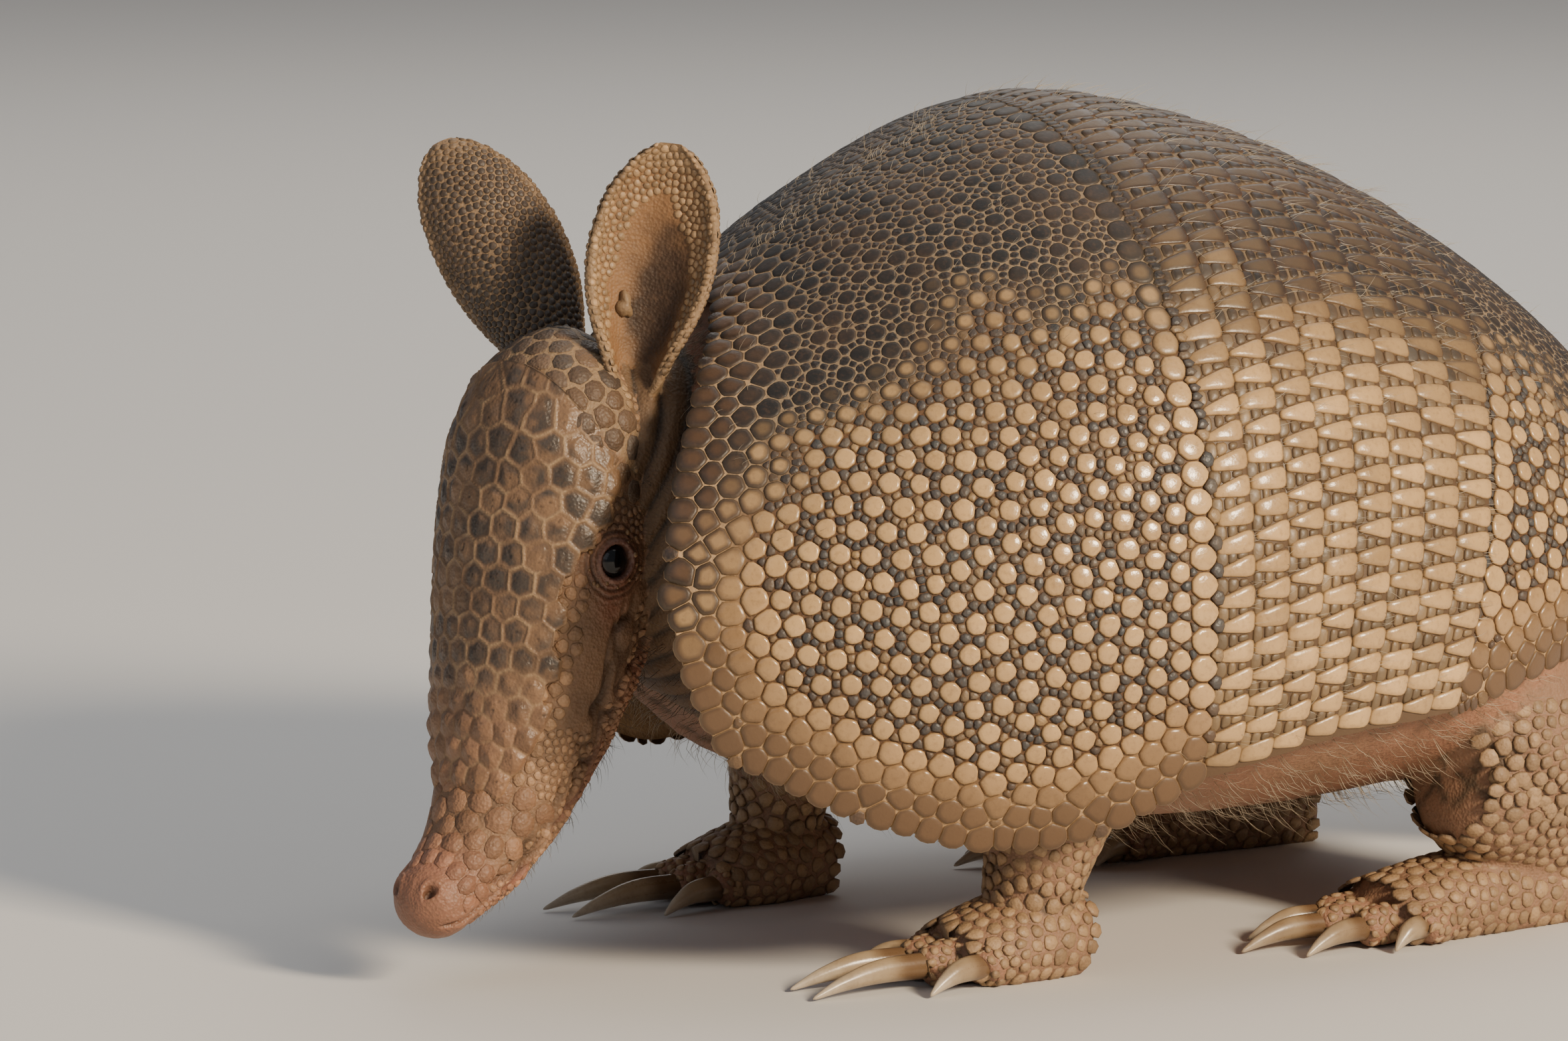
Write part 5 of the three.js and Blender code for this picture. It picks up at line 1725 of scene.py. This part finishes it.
def add_hairs(pile, roots, normals, along, length, thick, unwraps, tint, seed):
    """Thin tapered hairs, each of four rings of three corners that bend along the coat."""
    rng = np.random.default_rng(seed)
    n = len(roots)
    length = np.broadcast_to(length, n) * rng.uniform(0.6, 1.25, n)
    lean = unit(along + 0.32 * rng.standard_normal((n, 3)))
    steps = np.array([0, 0.35, 0.7, 1.0])
    bend = steps ** 1.6
    spine = (roots[:, None] + normals[:, None] * (length[:, None] * (steps - 0.55 * bend))[..., None]
             + lean[:, None] * (length[:, None] * bend * 0.75)[..., None])
    spine[:, 0] -= normals * 0.6
    u = unit(np.cross(normals, lean))
    w = np.cross(unit(normals + lean), u)
    wide = thick * np.array([1.0, 0.8, 0.5, 0.06])
    angle = np.arange(3) * 2 * pi / 3
    rings = spine[:, :, None] + wide[:, None, None] * (
        np.cos(angle)[:, None] * u[:, None, None] + np.sin(angle)[:, None] * w[:, None, None])
    faces = grid_faces(4, 3, closed=True)[:, ::-1]
    caps = np.array([[0, 1, 2], [11, 10, 9]])
    base = np.arange(n)[:, None, None] * 12
    patch = stacked(np.tile(np.cos(angle), 4), np.tile(np.sin(angle), 4)) * 0.0015
    shade = rng.uniform(0.75, 1.25, (n, 1, 1))
    tints = np.broadcast_to(tint, (n, 3))[:, None] * shade * np.ones((1, 12, 1))
    pile.add(rings.reshape(-1, 3), [(base + faces).reshape(-1, 4), (base + caps).reshape(-1, 3)],
             (unwraps[:, None] + patch).reshape(-1, 2), tints.reshape(-1, 3), 0.5)


def normals_of(surface, a, b):
    """Outward normals of a surface, and the direction in which its first coordinate grows."""
    sites = Sites(surface, stacked(a, b), None)
    out = np.cross(sites.e1, sites.e2) * (1 if sites.outward else -1)
    return sites.points, out, sites.e1


def lay_hairs(skin, look):
    """Sparse hairs from the bands and shields, and the thin coat of the jaw, throat, chest and belly."""
    rng = np.random.default_rng(77)
    pile = Pile()
    width = BANDS_LENGTH / BANDS
    for index in range(BANDS):
        surface = band_surface(index)
        v, t = rng.uniform(0.84, 0.93, HAIRS["band"]), rng.uniform(-0.97, 0.97, HAIRS["band"])
        roots, out, along = normals_of(surface, v, t)
        back = np.abs(t)
        add_hairs(pile, roots, out * 0.55 + along * 0.3, along, mix(6.5, 4.0, back), 0.055,
                  shell_unwrap(width * (index + v), t * 100), look.pale_hair, index)
    count = HAIRS["shoulder"]
    s, t = rng.uniform(-70, 0, count), rng.uniform(-70, 70, count) ** 3 / 70 ** 2
    keep = shoulder_holds(s, t)
    s2, t2 = rng.uniform(62, 140, HAIRS["rump"]), rng.uniform(-60, 60, HAIRS["rump"])
    keep2 = pelvic_holds(s2, t2)
    s, t = chain(s[keep], s2[keep2]), chain(t[keep], t2[keep2])
    roots, out, along = normals_of(shell, s, t)
    add_hairs(pile, roots, out, along, 3.6, 0.05, shell_unwrap(s, t), look.pale_hair, 20)
    pile.piece("shell_hairs", "hair", "scutes")

    pile = Pile()

    def jaw(h, a, high=0):
        return head_skin(h, a, high - 0.3)

    count = HAIRS["jaw"]
    h, a = rng.uniform(0, 98, count), rng.choice([-1, 1], count) * rng.uniform(118, 180, count)
    roots, out, along = normals_of(jaw, h, a)
    add_hairs(pile, roots, out, along * 0.6, mix(5.5, 2.2, ease(50, 98, h)), 0.06,
              skin.on_unwrap(HEAD_PART, *head_unwrap(h, a)), look.dark_hair, 30)
    neck = tube(NECK)
    f, angle = rng.uniform(0.15, 0.85, HAIRS["neck"]), rng.uniform(pi, 2 * pi, HAIRS["neck"])
    roots, out, along = normals_of(neck, f, angle)
    add_hairs(pile, roots, out, along, 6, 0.06, skin.on_unwrap(NECK_PART, angle / (2 * pi), f),
              look.dark_hair, 31)

    def belly(f, angle, high=0):
        return trunk_section(f, angle) + high * np.array([0, 0, -1.0])

    count = HAIRS["belly"]
    f = rng.uniform(0.08, 0.95, count)
    angle = rng.choice([-1, 1], count) * rng.uniform(0.66, 1.0, count) * pi
    sites = Sites(belly, stacked(f, angle), None)
    out = np.cross(sites.e1, sites.e2)
    out *= np.sign((out * (sites.points - ring_point(mix(*TRUNK, f), 0 * f, 0))).sum(-1))[:, None]
    add_hairs(pile, sites.points, out, sites.e1, 8, 0.06,
              skin.on_unwrap(TRUNK_PART, (angle / (2 * pi)) % 1, f), look.belly_hair, 32)
    f, angle = rng.uniform(0.012, 0.09, HAIRS["chest"]), rng.uniform(0, 2 * pi, HAIRS["chest"])
    roots = trunk_section(f, angle)
    add_hairs(pile, roots, np.array([[0, -1.0, 0]]) + 0 * roots,
              np.array([[0, -0.2, -1.0]]) + 0 * roots, 6, 0.06,
              skin.on_unwrap(TRUNK_PART, (angle / (2 * pi)) % 1, f), look.belly_hair, 33)
    pile.piece("body_hairs", "hair", "skin")


# ---------------- materials

def node_group(name, inputs, output):
    """An empty node group with its inputs' defaults and one output; gives it with its two ends."""
    group = bpy.data.node_groups.new(name, "ShaderNodeTree")
    for label, default in inputs.items():
        kind = "NodeSocketFloat" if isinstance(default, float) else "NodeSocketColor"
        socket = group.interface.new_socket(label, in_out="INPUT", socket_type=kind)
        socket.default_value = default
    group.interface.new_socket(output[0], in_out="OUTPUT", socket_type=output[1])
    return group, group.nodes.new("NodeGroupInput"), group.nodes.new("NodeGroupOutput")


def add_node(tree, kind, inputs=None, **settings):
    """Adds a node, sets its properties, and sets or links each input by name or number."""
    node = tree.nodes.new(kind)
    for key, value in settings.items():
        setattr(node, key, value)
    for key, value in (inputs or {}).items():
        if isinstance(value, bpy.types.NodeSocket):
            tree.links.new(value, node.inputs[key])
        else:
            node.inputs[key].default_value = value
    return node


def make_grime_group():
    """Uneven grime: darkens a colour in soft patches and fine specks."""
    group, begin, end = node_group("Grime", {
        "Colour": (0.5, 0.5, 0.5, 1), "Dirt": (0.1, 0.06, 0.03, 1), "Patches": 0.3, "Specks": 0.3,
        "Patch scale": 60.0, "Speck scale": 900.0}, ("Colour", "NodeSocketColor"))
    place_at = add_node(group, "ShaderNodeTexCoord").outputs["Object"]
    broad = add_node(group, "ShaderNodeTexNoise", {
        "Vector": place_at, "Scale": begin.outputs["Patch scale"], "Detail": 4.0, "Roughness": 0.6})
    fine = add_node(group, "ShaderNodeTexNoise", {
        "Vector": place_at, "Scale": begin.outputs["Speck scale"], "Detail": 3.0, "Roughness": 0.65})
    patches = add_node(group, "ShaderNodeMapRange", {
        0: broad.outputs[0], 1: 0.42, 2: 0.72, 3: 0.0, 4: begin.outputs["Patches"]})
    specks = add_node(group, "ShaderNodeMapRange", {
        0: fine.outputs[0], 1: 0.5, 2: 0.72, 3: 0.0, 4: begin.outputs["Specks"]})
    first = add_node(group, "ShaderNodeMix", {
        0: patches.outputs[0], 6: begin.outputs["Colour"], 7: begin.outputs["Dirt"]}, data_type="RGBA")
    second = add_node(group, "ShaderNodeMix", {
        0: specks.outputs[0], 6: first.outputs[2], 7: begin.outputs["Dirt"]}, data_type="RGBA")
    group.links.new(second.outputs[2], end.inputs["Colour"])
    return group


def make_grain_group():
    """Fine relief: broad unevenness, wrinkles and pits, put out as a height."""
    group, begin, end = node_group("Grain", {
        "Lumps": 0.4, "Pits": 0.4, "Lump scale": 500.0, "Pit scale": 1600.0},
        ("Height", "NodeSocketFloat"))
    place_at = add_node(group, "ShaderNodeTexCoord").outputs["Object"]
    lumps = add_node(group, "ShaderNodeTexNoise", {
        "Vector": place_at, "Scale": begin.outputs["Lump scale"], "Detail": 5.0, "Roughness": 0.6})
    pits = add_node(group, "ShaderNodeTexVoronoi", {
        "Vector": place_at, "Scale": begin.outputs["Pit scale"]}, feature="F1")
    high = add_node(group, "ShaderNodeMath", {
        0: lumps.outputs[0], 1: begin.outputs["Lumps"]}, operation="MULTIPLY")
    low = add_node(group, "ShaderNodeMath", {
        0: pits.outputs[0], 1: begin.outputs["Pits"], 2: high.outputs[0]}, operation="MULTIPLY_ADD")
    group.links.new(low.outputs[0], end.inputs["Height"])
    return group


def tinted_material(name, groups, grime, grain, bump, coat=0.0, scatter=0.0, shine=0.5):
    """A material that takes its colour and gloss from the piece and adds grime and grain."""
    material = bpy.data.materials.new(name)
    material.use_nodes = True
    tree = material.node_tree
    shader = tree.nodes["Principled BSDF"]
    tint = add_node(tree, "ShaderNodeAttribute", attribute_name="tint")
    gloss = add_node(tree, "ShaderNodeAttribute", attribute_name="gloss")
    dirt = add_node(tree, "ShaderNodeGroup", node_tree=groups["Grime"])
    relief = add_node(tree, "ShaderNodeGroup", node_tree=groups["Grain"])
    for node, values in ((dirt, grime), (relief, grain)):
        for key, value in values.items():
            node.inputs[key].default_value = value
    tree.links.new(tint.outputs["Color"], dirt.inputs["Colour"])
    tree.links.new(dirt.outputs["Colour"], shader.inputs["Base Color"])
    rough = add_node(tree, "ShaderNodeMapRange", {
        0: relief.outputs["Height"], 1: 0.2, 2: 0.8, 3: -0.06, 4: 0.14})
    total = add_node(tree, "ShaderNodeMath", {
        0: gloss.outputs["Fac"], 1: rough.outputs[0]}, use_clamp=True)
    tree.links.new(total.outputs[0], shader.inputs["Roughness"])
    bumped = add_node(tree, "ShaderNodeBump", {
        "Strength": 1.0, "Distance": bump * MM, "Height": relief.outputs["Height"]})
    tree.links.new(bumped.outputs[0], shader.inputs["Normal"])
    for key, value in (("Specular IOR Level", shine), ("Coat Weight", coat), ("Coat Roughness", 0.2),
                       ("Subsurface Weight", scatter), ("Subsurface Scale", 0.002)):
        shader.inputs[key].default_value = value
    return material


def make_materials():
    """The six materials of the animal."""
    groups = {"Grime": make_grime_group(), "Grain": make_grain_group()}
    brown = (0.11, 0.06, 0.03, 1)
    tinted_material("polished horn", groups, {"Dirt": brown, "Patches": 0.32, "Specks": 0.3},
                    {"Lumps": 0.6, "Pits": 0.15}, 0.12, coat=0.05)
    tinted_material("rough horn", groups, {"Dirt": brown, "Patches": 0.3, "Specks": 0.45},
                    {"Lumps": 0.8, "Pits": 0.4}, 0.22)
    tinted_material("bare skin", groups, {"Dirt": brown, "Patches": 0.35, "Specks": 0.4},
                    {"Lumps": 0.8, "Pits": 0.5}, 0.3, scatter=0.06)
    tinted_material("claw horn", groups, {"Dirt": brown, "Patches": 0.5, "Specks": 0.2},
                    {"Lumps": 0.5, "Pits": 0.1, "Lump scale": 260.0}, 0.12, coat=0.2)
    tinted_material("wet eye", groups, {"Patches": 0.0, "Specks": 0.0}, {"Lumps": 0.1, "Pits": 0.0}, 0.01,
                    coat=0.3, shine=0.25)
    tinted_material("hair", groups, {"Dirt": brown, "Patches": 0.3, "Specks": 0.0},
                    {"Lumps": 0.2, "Pits": 0.0}, 0.02)


# ---------------- settings

def size_setting(name, description, default):
    return bpy.props.FloatProperty(name=name, description=description, default=default * MM,
                                   min=0, precision=5, subtype="DISTANCE", unit="LENGTH")


def colour_setting(name, description, default):
    return bpy.props.FloatVectorProperty(name=name, description=description, default=default,
                                         min=0, max=1, size=3, subtype="COLOR")


class ShellSettings(bpy.types.PropertyGroup):
    """Sizes and colours of the shell."""
    groove_width: size_setting("Groove width", "Width of the grooves between scutes", 0.16)
    cream: colour_setting("Cream", "Polished beads on the flanks", (0.52, 0.335, 0.155))
    tan: colour_setting("Tan", "Scutes along the lower and front margins", (0.31, 0.185, 0.088))
    brown: colour_setting("Brown", "Scutes of the outermost rows", (0.088, 0.047, 0.023))
    slate: colour_setting("Slate", "Small dark scales between cream beads", (0.050, 0.052, 0.054))
    dark_bead: colour_setting("Dark bead", "Scutes along the back", (0.012, 0.0105, 0.010))
    dark_scale: colour_setting("Dark scale", "Small scales along the back", (0.016, 0.013, 0.012))
    between: colour_setting("Between", "Small scales between a band's wedges", (0.115, 0.078, 0.040))
    groove: colour_setting("Groove", "Grooves between cream beads", (0.095, 0.045, 0.017))
    dorsal_net: colour_setting("Dorsal net", "Pale net of grooves along the back", (0.24, 0.17, 0.10))
    pale_net: colour_setting("Pale net", "Pale net along the margins", (0.42, 0.275, 0.145))


class BodySettings(bpy.types.PropertyGroup):
    """Colours of the skin, the head, the ears, the claws and the hairs."""
    skin: colour_setting("Skin", "Bare skin", (0.235, 0.135, 0.075))
    pink: colour_setting("Pink", "Pink skin of the cheeks, eyelids and belly", (0.37, 0.15, 0.095))
    lid: colour_setting("Lid", "Rims of the eyelids", (0.16, 0.075, 0.055))
    nose: colour_setting("Nose", "Tip of the snout", (0.28, 0.13, 0.08))
    neck: colour_setting("Neck", "Folds of the neck", (0.135, 0.078, 0.038))
    leg: colour_setting("Leg", "Skin of the legs and feet", (0.225, 0.145, 0.085))
    ear_inside: colour_setting("Ear hollow", "Inside of the ears", (0.20, 0.09, 0.03))
    ear_rim: colour_setting("Ear rim", "Rims of the ears", (0.31, 0.20, 0.105))
    ear_pebble: colour_setting("Ear pebbles", "Pebbles on the backs of the ears", (0.045, 0.035, 0.028))
    ear_net: colour_setting("Ear net", "Skin between the pebbles of the ears", (0.26, 0.17, 0.095))
    head_dark: colour_setting("Head dark", "Dark scutes of the head", (0.055, 0.042, 0.033))
    head_warm: colour_setting("Head warm", "Warm patches of the head's scutes", (0.20, 0.115, 0.06))
    head_net: colour_setting("Head seams", "Raised seams between the head's scutes", (0.33, 0.22, 0.12))
    snout: colour_setting("Snout", "Scutes of the snout", (0.225, 0.12, 0.066))
    eye: colour_setting("Eye", "Black of the eyes", (0.004, 0.004, 0.005))
    eye_rim: colour_setting("Eye rim", "Edge of the eyes", (0.035, 0.022, 0.018))
    claw: colour_setting("Claw", "Roots of the claws", (0.34, 0.25, 0.15))
    claw_tip: colour_setting("Claw tip", "Tips of the claws", (0.50, 0.42, 0.31))
    pale_hair: colour_setting("Pale hair", "Hairs of the back", (0.42, 0.36, 0.27))
    dark_hair: colour_setting("Dark hair", "Hairs of the throat", (0.13, 0.10, 0.075))
    belly_hair: colour_setting("Belly hair", "Hairs of the belly", (0.34, 0.28, 0.20))


def palette(scene):
    """Every setting by its name, the sizes in millimetres."""
    look = SimpleNamespace()
    for settings, holder in SETTINGS.items():
        for name in holder.__annotations__:
            value = getattr(getattr(scene, settings), name)
            setattr(look, name, value / MM if isinstance(value, float) else np.array(value[:]))
    return look


# ---------------- operators

class Build(bpy.types.Operator):
    bl_options = {"REGISTER", "UNDO"}


class ARMADILLO_OT_materials(Build):
    """Makes the horn, skin and claw materials and the node groups that they share"""
    bl_idname = "armadillo.materials"
    bl_label = "Materials"

    def execute(self, context):
        make_materials()
        return {"FINISHED"}


class ARMADILLO_OT_shields(Build):
    """Builds the shoulder and pelvic shields with their beads and small scales"""
    bl_idname = "armadillo.shields"
    bl_label = "Shields"

    def execute(self, context):
        look = palette(context.scene)
        for node, shield in SHIELDS.items():
            lay_carapace(node, shield, look)
        return {"FINISHED"}


class ARMADILLO_OT_bands(Build):
    """Builds the eight bands with their wedges"""
    bl_idname = "armadillo.bands"
    bl_label = "Bands"

    def execute(self, context):
        look = palette(context.scene)
        for index in range(BANDS):
            lay_band(index, look)
        return {"FINISHED"}


class ARMADILLO_OT_skin(Build):
    """Builds the skin, the scales that lie on it, and the hairs"""
    bl_idname = "armadillo.skin"
    bl_label = "Skin, scales and hairs"

    def execute(self, context):
        look = palette(context.scene)
        skin = make_skin(look)
        lay_hairs(skin, look)
        return {"FINISHED"}


class ARMADILLO_OT_head_shield(Build):
    """Builds the shield of scutes on the head"""
    bl_idname = "armadillo.head_shield"
    bl_label = "Head shield"

    def execute(self, context):
        lay_head_shield(palette(context.scene))
        return {"FINISHED"}


class ARMADILLO_OT_eyes(Build):
    """Builds the two eyes"""
    bl_idname = "armadillo.eyes"
    bl_label = "Eyes"

    def execute(self, context):
        look = palette(context.scene)
        lay_eye("left", 1, look)
        lay_eye("right", -1, look)
        return {"FINISHED"}


class ARMADILLO_OT_claws(Build):
    """Builds the claws of the four feet"""
    bl_idname = "armadillo.claws"
    bl_label = "Claws"

    def execute(self, context):
        look = palette(context.scene)
        for kind in LEGS:
            for side, mirror in (("left", 1), ("right", -1)):
                lay_claws(f"{kind}claws_{side}", kind, side, mirror, look)
        return {"FINISHED"}


class ARMADILLO_OT_stage(Build):
    """Lays the pale floor and sets the lights and the camera"""
    bl_idname = "armadillo.stage"
    bl_label = "Floor, lights and camera"

    def execute(self, context):
        light_stage(context.scene)
        return {"FINISHED"}


def aimed(thing, target):
    thing.rotation_euler = (Vector(target) - thing.location).to_track_quat("-Z", "Y").to_euler()


def soft_light(name, azimuth, elevation, distance, size, power, colour):
    """A square soft light that looks at the animal from the given direction."""
    data = bpy.data.lights.new(name, "AREA")
    data.size, data.energy, data.color = size, power, colour
    light = bpy.data.objects.new(name, data)
    bpy.context.scene.collection.objects.link(light)
    target = Vector(LIT_PLACE)
    light.location = target + direction(azimuth, elevation) * distance
    aimed(light, target)


def direction(azimuth, elevation):
    a, e = math.radians(azimuth), math.radians(elevation)
    return Vector((math.sin(a) * math.cos(e), -math.cos(a) * math.cos(e), math.sin(e)))


def light_stage(scene):
    """Lays the floor and sets the world, the lights and the camera."""
    floor_mesh = bpy.data.meshes.new("floor")
    corners = [(x * FLOOR_SIZE, y * FLOOR_SIZE, 0) for x, y in ((-1, -1), (1, -1), (1, 1), (-1, 1))]
    floor_mesh.from_pydata(corners, [], [(0, 1, 2, 3)])
    floor = bpy.data.objects.new("floor", floor_mesh)
    scene.collection.objects.link(floor)
    paint = bpy.data.materials.new("pale floor")
    paint.use_nodes = True
    shader = paint.node_tree.nodes["Principled BSDF"]
    shader.inputs["Base Color"].default_value = (0.74, 0.73, 0.71, 1)
    shader.inputs["Roughness"].default_value = 0.8
    floor_mesh.materials.append(paint)

    world = bpy.data.worlds.new("studio")
    scene.world = world
    world.use_nodes = True
    sky = world.node_tree.nodes["Background"]
    sky.inputs["Color"].default_value = (0.78, 0.83, 0.92, 1)
    sky.inputs["Strength"].default_value = 0.24
    for name, light in LIGHTS.items():
        soft_light(name, *light)

    data = bpy.data.cameras.new("camera")
    data.lens, data.sensor_width = CAMERA["lens"], 36
    data.clip_end = 20
    camera = bpy.data.objects.new("camera", data)
    scene.collection.objects.link(camera)
    aim = Vector(CAMERA["aim"]) * MM
    camera.location = aim + direction(CAMERA["azimuth"], CAMERA["elevation"]) * CAMERA["distance"] * MM
    aimed(camera, aim)
    scene.camera = camera


class ARMADILLO_PT_build(bpy.types.Panel):
    """Lists the armadillo's pieces and settings"""
    bl_idname = "ARMADILLO_PT_build"
    bl_label = "Armadillo"
    bl_space_type = "VIEW_3D"
    bl_region_type = "UI"
    bl_category = "Armadillo"

    def draw(self, context):
        for operator in OPERATORS:
            self.layout.operator(operator.bl_idname)
        for settings, holder in SETTINGS.items():
            box = self.layout.box()
            for name in holder.__annotations__:
                box.prop(getattr(context.scene, settings), name)


OPERATORS = (ARMADILLO_OT_materials, ARMADILLO_OT_shields, ARMADILLO_OT_bands, ARMADILLO_OT_skin,
             ARMADILLO_OT_head_shield, ARMADILLO_OT_eyes, ARMADILLO_OT_claws, ARMADILLO_OT_stage)
SETTINGS = {"armadillo_shell": ShellSettings, "armadillo_body": BodySettings}


def register():
    for cls in (*SETTINGS.values(), *OPERATORS, ARMADILLO_PT_build):
        bpy.utils.register_class(cls)
    for name, holder in SETTINGS.items():
        setattr(bpy.types.Scene, name, bpy.props.PointerProperty(type=holder))


def unregister():
    for name in SETTINGS:
        delattr(bpy.types.Scene, name)
    for cls in reversed((*SETTINGS.values(), *OPERATORS, ARMADILLO_PT_build)):
        bpy.utils.unregister_class(cls)


def main():
    register()
    for operator in OPERATORS:
        category, name = operator.bl_idname.split(".")
        getattr(getattr(bpy.ops, category), name)()


if __name__ == "__main__":
    main()
